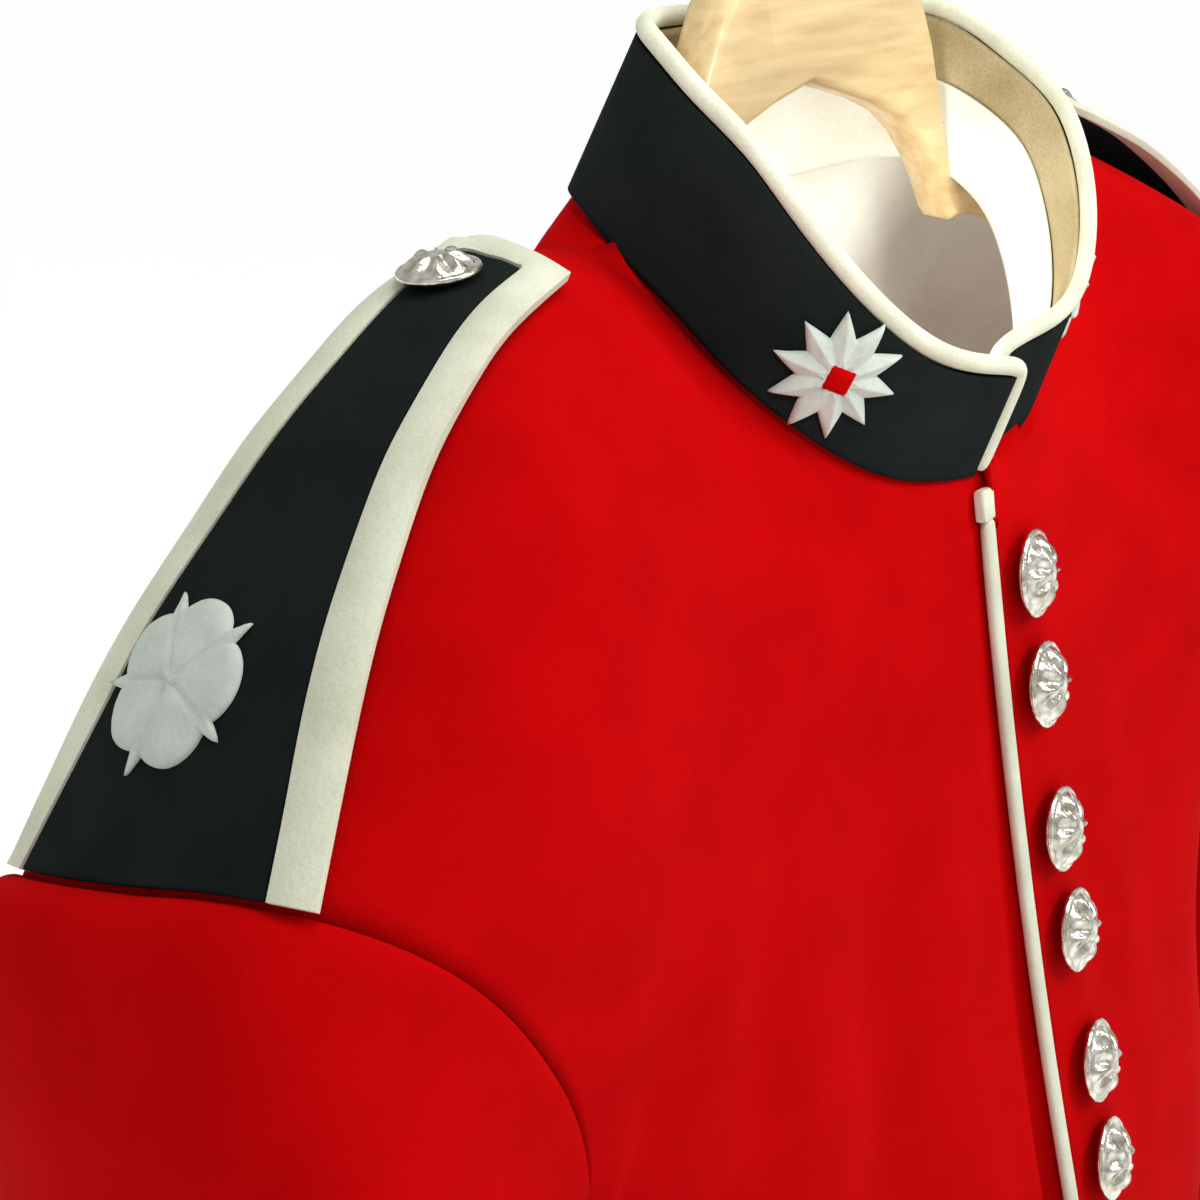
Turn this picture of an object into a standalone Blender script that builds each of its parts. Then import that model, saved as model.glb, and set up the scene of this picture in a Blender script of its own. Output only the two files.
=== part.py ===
"""A foot guards tunic hanging on a wooden hanger.

Sizes are in millimetres from the middle of the collar's seat: x runs to the wearer's left,
y to the wearer's back and z up. world() turns them into metres from the point where a rail
carries the hook. Tables that give a reach hold for both halves of the tunic.
"""
import math
from collections import namedtuple

import bpy
import bmesh
import numpy as np
from mathutils import Vector
from mathutils.bvhtree import BVHTree

for thing in list(bpy.data.objects):
    bpy.data.objects.remove(thing, do_unlink=True)

MM = 0.001
HOOK_REST = (0.0, 24.0, 188.0)

# Thickness of the layers, and the small spaces between them
CLOTH = 2.2
LINING = 1.1
COLLAR_CLOTH = 2.4
COLLAR_FACING = 1.2
STRAP_CLOTH = 2.2
EDGING_CLOTH = 3.3
GAP = 0.35
SEAM = 0.18
LINING_GAP = 0.8
LAID = 1.0

# The collar's seat on the neck, a rounded ring, and its height at each turn from the front
SEAT_HALF_WIDTH = 79.5
SEAT_FRONT = 46.7
SEAT_BACK = 65.8
FRONT_ROUNDNESS = 0.96
BACK_ROUNDNESS = 0.70
RIM_NARROWER = 3.0
Collar = namedtuple("Collar", "turn seat rim lean")
COLLAR = [
    Collar(0, -46.3, -12.7, -8.2),
    Collar(30, -38.8, -2.8, -9.1),
    Collar(60, -19.5, 21.1, -11.6),
    Collar(75, -9.0, 34.3, -13.2),
    Collar(90, 2.0, 46.4, -15.0),
    Collar(105, 16.0, 59.5, -16.7),
    Collar(120, 21.5, 64.8, -18.3),
    Collar(150, 20.0, 65.6, -20.8),
    Collar(180, 18.0, 64.7, -21.7),
]

# The shoulder seam from the collar to the sleeve. Tilt is the rise of the cloth towards the back
SEAM_TURN = 101
NECK_UNDER = 2.2
Shoulder = namedtuple("Shoulder", "reach back height tilt")
SHOULDER = [
    Shoulder(100, 18.5, 18.5, 0.19),
    Shoulder(117, 16.5, 21.0, 0.17),
    Shoulder(134, 12.5, 19.6, 0.11),
    Shoulder(151, 8.3, 14.7, 0.05),
    Shoulder(184, -0.6, -2.5, -0.07),
    Shoulder(218, -9.5, -30.0, -0.19),
    Shoulder(250, -18.0, -69.0, -0.30),
]

# The hanger lifts the neck of the wearer's left side more than the right
LEFT_LIFT = 17.0
LIFT_REACH = 85.0
LIFT_BACK = 8.0
LIFT_SPREAD_OUT = 38.0
LIFT_SPREAD_BACK = 30.0

# The armhole from the sleeve's top round to the underarm, in front and at the back
Armhole = namedtuple("Armhole", "reach back height")
ARMHOLE_FRONT = [
    Armhole(250, -18, -69),
    Armhole(248, -37, -62),
    Armhole(241, -54, -61),
    Armhole(224, -65, -73),
    Armhole(205, -70, -97),
    Armhole(190, -71, -123),
    Armhole(181, -70, -151),
    Armhole(179, -66, -181),
    Armhole(184, -55, -210),
    Armhole(192, -38, -231),
    Armhole(200, -18, -240),
]
ARMHOLE_BACK = [
    Armhole(250, -18, -69),
    Armhole(253, 2, -75),
    Armhole(251, 22, -83),
    Armhole(241, 40, -95),
    Armhole(226, 51, -116),
    Armhole(213, 56, -148),
    Armhole(206, 50, -186),
    Armhole(203, 34, -217),
    Armhole(201, 8, -236),
    Armhole(200, -18, -240),
]

# Level sections through the body below the underarm
Section = namedtuple("Section", "height half_width front side back")
SECTIONS = [
    Section(-240, 200, -104, -18, 90),
    Section(-290, 198, -121, -19, 89),
    Section(-340, 192, -132, -20, 85),
    Section(-390, 183, -135, -21, 78),
    Section(-440, 177, -131, -22, 73),
    Section(-490, 177, -129, -20, 75),
    Section(-550, 184, -130, -17, 81),
    Section(-620, 192, -132, -15, 88),
    Section(-700, 198, -134, -13, 93),
    Section(-775, 203, -136, -12, 97),
]
SECTION_WIDTH_POWER = 2.0 / 3.0
SECTION_DEPTH_POWER = 2.0 / 2.2
STRAIGHT_FROM_MIDDLE = 45.0
UPPER_SHARES = (0, 0.045, 0.09, 0.145, 0.21, 0.285, 0.37, 0.465, 0.57, 0.68, 0.79, 0.895, 1)
UPPER_ROWS = len(UPPER_SHARES) - 1
LOWER_HEIGHTS = (-240, -288, -338, -390, -444, -504, -580, -675, -775)
AXIS_BACK = -20.0

# Lines of the cloth's grain that run down each panel. The edge is the seat, the corner where the
# shoulder seam meets it, or the seam; at is the run along the seat or the reach on the seam; chest is
# the run from the middle at the chest; the rest shape the curve between the two: where it sets off,
# how far it keeps that direction, how far it has settled above the chest, and how much it bows in
# towards the middle and forward there
Grain = namedtuple("Grain", "edge at chest bearing fall lead tail inward forward")
FRONT_GRAIN = [
    Grain("seat", 0, 0, 0, 76, 62, 64, 0, 0),
    Grain("seat", 14, 14, 3, 75, 62, 64, 0, 0),
    Grain("seat", 28, 28, 8, 72, 60, 64, 0, 0),
    Grain("seat", 52, 54, 20, 62, 56, 68, 0, 0),
    Grain("seat", 78, 84, 36, 43, 58, 76, 0, 2),
    Grain("seat", 104, 112, 42, 22, 74, 82, 0, 8),
    Grain("corner", 0, 136, 32, 0, 88, 86, 2, 13),
    Grain("seam", 112, 158, 18, 0, 93, 88, 8, 12),
    Grain("seam", 148, 180, 6, 0, 95, 88, 25, 14),
    Grain("seam", 184, 200, -2, 0, 95, 86, 44, 24),
    Grain("seam", 218, 220, -3, 0, 88, 83, 70, 52),
    Grain("seam", 250, 0, 0, 0, 70, 80, 86, 78),
]
BACK_GRAIN = [
    Grain("seat", 0, 0, 0, 74, 60, 70, 0, 0),
    Grain("seat", 28, 30, 5, 70, 58, 70, 0, 0),
    Grain("seat", 56, 62, 18, 58, 58, 70, 0, 0),
    Grain("seat", 80, 96, 32, 36, 56, 72, 0, 4),
    Grain("corner", 0, 124, 30, 0, 58, 76, 0, 8),
    Grain("seam", 112, 150, 18, 0, 62, 80, 2, 14),
    Grain("seam", 148, 174, 8, 0, 74, 80, 6, 30),
    Grain("seam", 184, 198, 3, 0, 86, 76, 12, 56),
    Grain("seam", 218, 220, 0, 0, 82, 62, 20, 92),
    Grain("seam", 250, 0, 0, 0, 70, 43, 29, 130),
]
ARMHOLE_PULL = 4.0

# Soft folds of the hanging body: x and height of each end, width and depth, out is positive
Fold = namedtuple("Fold", "top_x top bottom_x bottom width depth")
FRONT_FOLDS = [
    Fold(-92, -120, -118, -520, 26, -3.6),
    Fold(-128, -150, -150, -430, 24, 3.0),
    Fold(-52, -230, -66, -470, 22, 2.2),
    Fold(62, -190, 84, -500, 24, -3.0),
    Fold(104, -140, 128, -430, 26, 3.2),
    Fold(150, -170, 160, -400, 22, -3.0),
    Fold(-100, -500, -124, -800, 34, 5.5),
    Fold(-44, -520, -52, -800, 26, -3.6),
    Fold(60, -510, 74, -800, 30, 4.8),
    Fold(126, -500, 148, -800, 32, -4.6),
]
BACK_FOLDS = [
    Fold(-70, -60, -96, -420, 30, -3.6),
    Fold(-20, -90, -12, -400, 26, 2.8),
    Fold(58, -70, 84, -430, 30, -3.4),
    Fold(128, -110, 132, -400, 26, 3.0),
    Fold(-132, -120, -140, -390, 26, 3.0),
    Fold(-112, -480, -132, -800, 36, 6.0),
    Fold(-46, -470, -58, -800, 30, -4.6),
    Fold(18, -480, 24, -800, 32, 5.4),
    Fold(88, -480, 104, -800, 34, -5.0),
    Fold(140, -470, 160, -800, 30, 4.6),
]

# The closure: the left front laps over the right by the button stand
LAP_RISE = 3.0
LAP_FLAT = 36.0
LAP_END = 78.0
BUTTON_STAND = 28.0
PIPING_X = -1.5
PIPING_HALF_WIDTH = 2.6
PIPING_HALF_DEPTH = 1.6
TAB_SIZE = (6.4, 3.4, 9.0)
TAB_X = -0.8
BUTTON_XS = (15, 15.3, 16, 17.5, 20, 19, 17.5, 17, 17, 17)
BUTTON_RADIUS = 12.5
BUTTON_HEIGHT = 7.0
STRAP_BUTTON_RADIUS = 9.5
BUTTON_LEAN = 8.0
FIRST_BUTTON = 27.6
BUTTON_IN_PAIR = 32.6
BUTTON_TO_NEXT_PAIR = 44.4

# The collar's piping, and how the left end tucks behind the right one
COLLAR_PIPING = 2.4
TUCK_SPREAD = 34.0
TUCK_SEAT = 4.6
TUCK_RIM = 6.6
TUCK_LIFT = 3.6
LEFT_END_SEAT_X = 2.0
LEFT_END_RIM_X = -1.0

# Sleeve rings from the armhole to the wrist. Follow is how far a ring keeps the armhole's shape
Ring = namedtuple("Ring", "out_reach out_height in_reach in_height front back follow")
SLEEVE = [
    Ring(250.4, -69, 200.4, -240, -79, 56, 1.00),
    Ring(259, -67, 202, -241, -84, 56, 0.86),
    Ring(266, -76, 204, -243, -87, 54, 0.50),
    Ring(270, -96, 205, -247, -90, 51, 0.18),
    Ring(271, -128, 206, -254, -92, 49, 0.0),
    Ring(270, -168, 206.5, -264, -91, 47, 0.0),
    Ring(269, -214, 207, -280, -90, 46, 0.0),
    Ring(268, -266, 207.5, -304, -88, 44, 0.0),
    Ring(268, -326, 208, -340, -88, 40, 0.0),
    Ring(269, -392, 209, -395, -91, 33, 0.0),
    Ring(270, -460, 210, -460, -95, 24, 0.0),
    Ring(270, -530, 211, -530, -99, 15, 0.0),
    Ring(269, -600, 212, -600, -103, 6, 0.0),
    Ring(268, -655, 213, -655, -106, 1, 0.0),
    Ring(267, -700, 214, -700, -107, -2, 0.0),
]
SLEEVE_ROUNDNESS = 0.88
UNDERARM_ROW = 10.2
UNDERARM_SPACE = 2.6
SLEEVE_AROUND = 2 * UPPER_ROWS
FRONT_SEAM_AT = 8
BACK_SEAM_AT = 16

# Drag folds of a sleeve: place around it and along its rings at both ends, width, depth
Drag = namedtuple("Drag", "around ring around_end ring_end width depth")
SLEEVE_FOLDS = [
    Drag(0.02, 2.2, 0.20, 5.6, 0.045, -3.6),
    Drag(0.10, 2.0, 0.30, 4.8, 0.045, 3.0),
    Drag(0.94, 3.0, 0.12, 7.6, 0.050, 3.2),
    Drag(0.88, 2.4, 0.70, 5.6, 0.050, -3.4),
    Drag(0.30, 8.2, 0.05, 9.6, 0.060, -3.8),
    Drag(0.28, 9.4, 0.98, 10.8, 0.060, 3.4),
    Drag(0.72, 9.0, 0.98, 10.2, 0.060, -3.2),
    Drag(0.20, 11.2, 0.02, 12.6, 0.050, 2.6),
]

# Shoulder straps, in reach from the middle
STRAP_NECK_END = 117.2
STRAP_NECK_BACK = 18.6
STRAP_NECK_HALF = 16.4
STRAP_SHORT_OF_SEAM = 0.8
STRAP_END_BACK = -14.0
STRAP_END_HALF = 39.5
STRAP_WAIST = 5.0
EDGING_WIDTH = 8.4
STRAP_BUTTON_AT = (141.0, 17.0)
FLOWER_AT = (226.5, -1.5)
FLOWER_RADIUS = 17.2
FLOWER_PETALS = 5
FLOWER_THICKNESS = 2.4

# Collar badges
STAR_TURN = 51.0
STAR_SHARE = 0.49
STAR_RADIUS = 16.5
STAR_VALLEY = 10.0
STAR_POINTS = 10
STAR_EDGE = 1.2
STAR_PEAK = 3.4

# The hanger: the crown inside the neck, then arms just under the shoulders
Arm = namedtuple("Arm", "reach top bottom back")
HANGER = [
    Arm(0, 93, 48, 24),
    Arm(22, 89, 42, 24),
    Arm(44, 71, 32, 22),
    Arm(58, 42, 18, 20),
    Arm(68, 16, 4, 19),
    Arm(78, 6, -6, 17),
    Arm(92, 7, -10, 16),
    Arm(117, 10, -12, 13),
    Arm(151, 8, -18, 7),
    Arm(184, -10, -34, -1),
    Arm(204, -20, -46, -6),
]
HANGER_HALF_DEPTH = 7.0
HANGER_CHAMFER = 3.0
HANGER_CLEAR = 0.6
HANGER_RISE = 0.75
HOOK_WIRE = 2.0
HOOK_RADIUS = 20.0
HOOK_STEM_TOP = 128.0

# Finishes: colour, roughness, metallic
FINISHES = {
    "scarlet_wool": ((0.45, 0.006, 0.008), 0.85, 0.0),
    "cream_lining": ((0.78, 0.76, 0.62), 0.7, 0.0),
    "black_wool": ((0.012, 0.016, 0.016), 0.85, 0.0),
    "tan_facing": ((0.55, 0.46, 0.30), 0.7, 0.0),
    "white_wool": ((0.78, 0.79, 0.66), 0.8, 0.0),
    "silver": ((0.80, 0.80, 0.76), 0.25, 1.0),
    "badge_white": ((0.66, 0.70, 0.64), 0.6, 0.0),
    "beech": ((0.70, 0.50, 0.27), 0.5, 0.0),
    "steel": ((0.60, 0.60, 0.60), 0.3, 1.0),
}

tunic = bpy.data.collections.new("foot_guards_tunic")
bpy.context.scene.collection.children.link(tunic)


def world(points):
    """Metres from the hook's resting point."""
    return (np.asarray(points, float) - HOOK_REST) * MM


def finish(name):
    """The material of that name, made the first time it is asked for."""
    if name in bpy.data.materials:
        return bpy.data.materials[name]
    colour, roughness, metallic = FINISHES[name]
    material = bpy.data.materials.new(name)
    material.use_nodes = True
    shader = material.node_tree.nodes["Principled BSDF"]
    shader.inputs["Base Color"].default_value = (*colour, 1.0)
    shader.inputs["Roughness"].default_value = roughness
    shader.inputs["Metallic"].default_value = metallic
    material.diffuse_color = (*colour, 1.0)
    return material


def piece(name, mesh, material):
    """A named part of the tunic with its material."""
    mesh.materials.clear()
    mesh.materials.append(finish(material))
    part = bpy.data.objects.new(name, mesh)
    tunic.objects.link(part)
    return part


def unit(vector):
    vector = np.asarray(vector, float)
    return vector / np.linalg.norm(vector)


def ease(low, high, value):
    """Rises smoothly from 0 at low to 1 at high."""
    share = min(max((value - low) / (high - low), 0.0), 1.0)
    return share * share * (3.0 - 2.0 * share)


def through(stations, values, at):
    """A smooth curve through the rows of a table."""
    stations = np.asarray(stations, float)
    values = np.asarray(values, float)
    slopes = np.gradient(values, stations, axis=0)
    at = min(max(at, stations[0]), stations[-1])
    row = min(int(np.searchsorted(stations, at, side="right")) - 1, len(stations) - 2)
    width = stations[row + 1] - stations[row]
    t = (at - stations[row]) / width
    start = values[row] * (1 + 2 * t) * (1 - t) ** 2 + slopes[row] * width * t * (1 - t) ** 2
    end = values[row + 1] * t * t * (3 - 2 * t) + slopes[row + 1] * width * t * t * (t - 1)
    return start + end


def run_along(points):
    """Distance from the first point to each point of a line."""
    steps = np.linalg.norm(np.diff(points, axis=0), axis=1)
    return np.concatenate(([0.0], np.cumsum(steps)))


def along(points, run, at):
    """The point of a line at a distance from its start."""
    return np.array([np.interp(at, run, points[:, axis]) for axis in range(points.shape[1])])


# Meshes
def closed_mesh(name, vertices, faces):
    """A mesh in metres with its faces turned outwards."""
    builder = bmesh.new()
    corners = [builder.verts.new(Vector(place)) for place in world(vertices)]
    for face in faces:
        builder.faces.new([corners[index] for index in face])
    bmesh.ops.recalc_face_normals(builder, faces=builder.faces)
    if builder.calc_volume(signed=True) < 0:
        bmesh.ops.reverse_faces(builder, faces=builder.faces)
    mesh = bpy.data.meshes.new(name)
    builder.to_mesh(mesh)
    builder.free()
    return mesh


def wall(name, outer, inner, material):
    """A closed wall between two grids of points."""
    rows, columns = outer.shape[:2]
    count = rows * columns
    vertices = np.concatenate((outer.reshape(-1, 3), inner.reshape(-1, 3)))
    faces = []
    for i in range(rows - 1):
        for j in range(columns - 1):
            a = i * columns + j
            b = a + columns
            for corners in ((a, b, b + 1), (a, b + 1, a + 1)):
                faces.append(corners)
                faces.append(tuple(count + corner for corner in reversed(corners)))
    rim = [j for j in range(columns)]
    rim += [i * columns + columns - 1 for i in range(1, rows)]
    rim += [(rows - 1) * columns + j for j in range(columns - 2, -1, -1)]
    rim += [i * columns for i in range(rows - 2, 0, -1)]
    for a, b in zip(rim, rim[1:] + rim[:1]):
        faces.append((a, a + count, b + count, b))
    return piece(name, closed_mesh(name, vertices, faces), material)


def loft(name, rings, material):
    """A solid through closed rings, with flat ends."""
    count, around = rings.shape[:2]
    faces = [tuple(range(around)), tuple((count - 1) * around + j for j in range(around - 1, -1, -1))]
    for i in range(count - 1):
        for j in range(around):
            a = i * around + j
            b = i * around + (j + 1) % around
            faces.append((a, b, b + around, a + around))
    return piece(name, closed_mesh(name, rings.reshape(-1, 3), faces), material)


def cord(name, path, outward, half_width, half_depth, material, sides=8):
    """Piping: an oval section along a path, its depth in the outward directions."""
    path = np.asarray(path, float)
    travel = np.gradient(path, axis=0)
    rings = []
    for place, forward, out in zip(path, travel, outward):
        forward = unit(forward)
        out = unit(out - forward * np.dot(out, forward))
        across = np.cross(forward, out)
        angles = (np.arange(sides) + 0.5) * 2 * math.pi / sides
        ring = [place + across * half_width * math.cos(a) + out * half_depth * math.sin(a) for a in angles]
        rings.append(ring)
    return loft(name, np.array(rings), material)


def surface(point, u, v, facing, step=0.02, u_range=None, v_range=None):
    """A point of a surface and its normal; facing is 1 or -1 and picks the outer side."""
    low_u, high_u, low_v, high_v = u - step, u + step, v - step, v + step
    if u_range:
        low_u, high_u = max(low_u, u_range[0]), min(high_u, u_range[1])
    if v_range:
        low_v, high_v = max(low_v, v_range[0]), min(high_v, v_range[1])
    across = point(high_u, v) - point(low_u, v)
    down = point(u, high_v) - point(u, low_v)
    return point(u, v), unit(np.cross(across, down)) * facing


def draw_back(grid, edges):
    """How far each point moves when the named edges of a grid are drawn in by a distance."""
    offset = np.zeros_like(grid)

    def towards(edge, inner, distance):
        step = inner - edge
        return distance * step / np.linalg.norm(step, axis=1)[:, None]

    for edge, distance in edges.items():
        if edge == "first_row":
            offset[:, 0] += towards(grid[:, 0], grid[:, 1], distance)
        if edge == "first_column":
            offset[0] += towards(grid[0], grid[1], distance)
        if edge == "last_column":
            offset[-1] += towards(grid[-1], grid[-2], distance)
    return offset


# Neck and collar
COLLAR_TURNS = [row.turn for row in COLLAR]
COLLAR_VALUES = [(row.seat, row.rim, row.lean) for row in COLLAR]


def ring_shape(turn):
    """Where a turn lies on the neck's ring, as shares of its half width and depth."""
    side = math.sin(math.radians(turn))
    front = math.cos(math.radians(turn))
    roundness = FRONT_ROUNDNESS if front > 0 else BACK_ROUNDNESS
    depth = SEAT_FRONT if front > 0 else SEAT_BACK
    reach = math.copysign(abs(side) ** roundness, side)
    return reach, -math.copysign(abs(front) ** roundness, front) * depth


def lift(x, y):
    """How far the hanger lifts the neck and shoulder of the wearer's left side."""
    if x <= 0:
        return 0.0
    out = (x - LIFT_REACH) / LIFT_SPREAD_OUT
    back = (y - LIFT_BACK) / LIFT_SPREAD_BACK
    return LEFT_LIFT * math.exp(-out * out - back * back)


def seat_point(turn):
    """The collar's seat; positive turns go round the wearer's left."""
    reach, y = ring_shape(turn)
    height = through(COLLAR_TURNS, COLLAR_VALUES, abs(turn))[0]
    x = SEAT_HALF_WIDTH * reach
    return np.array([x, y, height + lift(x, y)])


def rim_point(turn):
    """The collar's top edge above the same turn."""
    reach, y = ring_shape(turn)
    height, lean = through(COLLAR_TURNS, COLLAR_VALUES, abs(turn))[1:]
    return np.array([(SEAT_HALF_WIDTH - RIM_NARROWER) * reach, y + lean, height])


SEAT_TURNS = np.linspace(0, 180, 361)
SEAT_LINE = np.array([seat_point(-turn) for turn in SEAT_TURNS]) * (-1, 1, 1)
SEAT_RUN = run_along(SEAT_LINE)
CORNER_RUN = float(np.interp(SEAM_TURN, SEAT_TURNS, SEAT_RUN))


def under_collar(place):
    """The neck's edge reaches a little way in under the collar at the sides."""
    away = unit((place[0], place[1] - 10.0))
    inwards = NECK_UNDER * away[0] ** 2
    return place - np.array([away[0] * inwards, away[1] * inwards, 0.0])


NECK_LINE = np.array([under_collar(place) for place in SEAT_LINE])
CORNER = along(NECK_LINE, SEAT_RUN, CORNER_RUN)
SHOULDER_REACHES = [CORNER[0]] + [row.reach for row in SHOULDER]
SHOULDER_VALUES = [(CORNER[1], CORNER[2], 0.20)] + [(row.back, row.height, row.tilt) for row in SHOULDER]


def shoulder_point(reach):
    back, height, tilt = through(SHOULDER_REACHES, SHOULDER_VALUES, reach)
    return np.array([reach, back, height])


def shoulder_slope(reach, bearing, backwards):
    """Rise of the cloth for a unit step from the seam, at a bearing outwards from straight across."""
    step = 0.5
    ahead = through(SHOULDER_REACHES, SHOULDER_VALUES, reach + step)
    behind = through(SHOULDER_REACHES, SHOULDER_VALUES, reach - step)
    width = min(reach + step, SHOULDER_REACHES[-1]) - max(reach - step, SHOULDER_REACHES[0])
    tilt = through(SHOULDER_REACHES, SHOULDER_VALUES, reach)[2]
    outward = ((ahead[1] - behind[1]) - tilt * (ahead[0] - behind[0])) / width
    return outward * math.sin(bearing) + (tilt if backwards else -tilt) * math.cos(bearing)


# Body
def armhole_line(rows):
    """A fine line down one half of the armhole."""
    points = np.array(rows, float)
    run = run_along(points)
    fine = np.array([through(run, points, at) for at in np.linspace(0, run[-1], 120)])
    return fine, run_along(fine)


ARMHOLES = {"front": armhole_line(ARMHOLE_FRONT), "back": armhole_line(ARMHOLE_BACK)}
SECTION_HEIGHTS = [-row.height for row in SECTIONS]
SECTION_VALUES = [(row.half_width, row.front, row.side, row.back) for row in SECTIONS]
section_lines = {}


def armhole(face, share):
    line, run = ARMHOLES[face]
    return along(line, run, share * run[-1])


def section_line(height, face):
    """Half of a level section, from the middle of the front or back to the side seam."""
    key = (round(height, 4), face)
    if key not in section_lines:
        half_width, front, side, back = through(SECTION_HEIGHTS, SECTION_VALUES, -height)
        middle = front if face == "front" else back
        angles = np.radians(np.linspace(0, 90, 181))
        x = half_width * np.sin(angles) ** SECTION_WIDTH_POWER
        y = side + (middle - side) * np.clip(np.cos(angles), 0, 1) ** SECTION_DEPTH_POWER
        line = np.stack((x, y, np.full(len(x), float(height))), axis=1)
        section_lines[key] = (line, run_along(line))
    return section_lines[key]


class Half:
    """The grain lines of one half of the front or the back."""

    def __init__(self, face, grain):
        self.face = face
        self.count = len(grain)
        self.corner = [row.edge for row in grain].index("corner")
        self.chest_length = section_line(LOWER_HEIGHTS[0], face)[1][-1]
        middle_run = 0.0 if face == "front" else SEAT_RUN[-1]
        direction = 1.0 if face == "front" else -1.0
        seats = [middle_run + direction * row.at for row in grain[:self.corner]]
        self.seat_runs = seats + [CORNER_RUN]
        self.reaches = [CORNER[0]] + [row.at for row in grain[self.corner + 1:]]
        self.chest = [row.chest for row in grain[:-1]] + [self.chest_length]
        self.bearing = [row.bearing for row in grain]
        self.lead = [row.lead for row in grain]
        self.tail = [row.tail for row in grain]
        self.bow = [(-row.inward, row.forward * (-1 if face == "front" else 1), 0) for row in grain]
        corner_bearing = math.radians(grain[self.corner].bearing)
        rise = shoulder_slope(CORNER[0] + 0.5, corner_bearing, face == "back")
        self.fall = [row.fall for row in grain[:self.corner]] + [-math.degrees(math.atan(rise))]

    def value(self, rows, u):
        return float(through(range(self.count), rows, u))

    def top(self, u):
        if u <= self.corner:
            return along(NECK_LINE, SEAT_RUN, through(range(self.corner + 1), self.seat_runs, u))
        steps = range(self.count - self.corner)
        return shoulder_point(float(through(steps, self.reaches, u - self.corner)))

    def start(self, u):
        """Direction in which the cloth leaves its top edge."""
        bearing = math.radians(self.value(self.bearing, u))
        if u <= self.corner:
            fall = math.radians(float(through(range(self.corner + 1), self.fall, u)))
            rise = -math.tan(fall)
        else:
            reach = float(through(range(self.count - self.corner), self.reaches, u - self.corner))
            rise = shoulder_slope(reach, bearing, self.face == "back")
        forward = -math.cos(bearing) if self.face == "front" else math.cos(bearing)
        return unit((math.sin(bearing), forward, rise))

    def level(self, u, height):
        """Where a grain line crosses a level section."""
        chest = self.value(self.chest, u)
        line, run = section_line(height, self.face)
        if chest > STRAIGHT_FROM_MIDDLE:
            stretch = (run[-1] - STRAIGHT_FROM_MIDDLE) / (self.chest_length - STRAIGHT_FROM_MIDDLE)
            chest = STRAIGHT_FROM_MIDDLE + (chest - STRAIGHT_FROM_MIDDLE) * stretch
        return along(line, run, chest)

    def upper(self, u, t):
        """The grain line between its top edge and the chest."""
        start = self.top(u)
        end = self.level(u, LOWER_HEIGHTS[0])
        down = unit(self.level(u, LOWER_HEIGHTS[0] - 8.0) - end)
        first = start + self.value(self.lead, u) * self.start(u)
        second = end - self.value(self.tail, u) * down + through(range(self.count), self.bow, u)
        rest = 1.0 - t
        return (start * rest ** 3 + first * 3 * t * rest ** 2
                + second * 3 * t * t * rest + end * t ** 3)

    def point(self, u, v):
        """A point of the cloth before folds; v counts rows from the top edge to the hem."""
        if v > UPPER_ROWS:
            steps = np.arange(len(LOWER_HEIGHTS))
            return self.level(u, float(np.interp(v - UPPER_ROWS, steps, LOWER_HEIGHTS)))
        t = float(np.interp(v, np.arange(UPPER_ROWS + 1), UPPER_SHARES))
        place = self.upper(u, t)
        last = self.count - 1
        if u > last - ARMHOLE_PULL:
            weight = ((u - last + ARMHOLE_PULL) / ARMHOLE_PULL) ** 2
            place = place + weight * (armhole(self.face, t) - self.upper(last, t))
        return place


HALVES = {"front": Half("front", FRONT_GRAIN), "back": Half("back", BACK_GRAIN)}
FOLDS = {"front": FRONT_FOLDS, "back": BACK_FOLDS}


def fold_depth(face, x, z):
    """How far the folds move the cloth out at a place on the front or back."""
    depth = 0.0
    for fold in FOLDS[face]:
        share = (fold.top - z) / (fold.top - fold.bottom)
        if 0.0 < share < 1.0:
            middle = fold.top_x + (fold.bottom_x - fold.top_x) * share
            open_hem = fold.bottom < LOWER_HEIGHTS[-1]
            fade = ease(0.0, 0.45, share) * (1.0 if open_hem else ease(1.0, 0.6, share))
            depth += fold.depth * fade * math.exp(-((x - middle) / fold.width) ** 2)
    side_fade = ease(188.0, 165.0, abs(x))
    return depth * side_fade


def cloth_point(side, face, laps):
    """The outer face of the cloth on one side, as a function of grain line and row."""
    half = HALVES[face]

    def point(u, v):
        x, y, z = half.point(abs(u), v)
        x = x * side * (1.0 if u >= 0 else -1.0)
        out = unit((x, y - AXIS_BACK))
        move = fold_depth(face, x, z)
        lap = LAP_RISE * (1.0 - ease(LAP_FLAT, LAP_END, x)) if laps else 0.0
        return np.array([x + out[0] * move, y + out[1] * move - lap, z + lift(x, y)])

    return point


def grid_of(point, facing, us, vs):
    """Points and normals over a grid."""
    limits = (min(us), max(us)), (min(vs), max(vs))
    places = np.zeros((len(us), len(vs), 3))
    normals = np.zeros_like(places)
    for i, u in enumerate(us):
        for j, v in enumerate(vs):
            places[i, j], normals[i, j] = surface(point, u, v, facing, u_range=limits[0], v_range=limits[1])
    return places, normals


def layer(name, grid, normals, out, thickness, edges, material):
    """A wall that starts at a distance out from a grid and goes inwards."""
    shift = draw_back(grid, edges)
    outer = grid + normals * out + shift
    inner = grid + normals * (out - thickness) + shift
    wall(name, outer, inner, material)
    return outer


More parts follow.
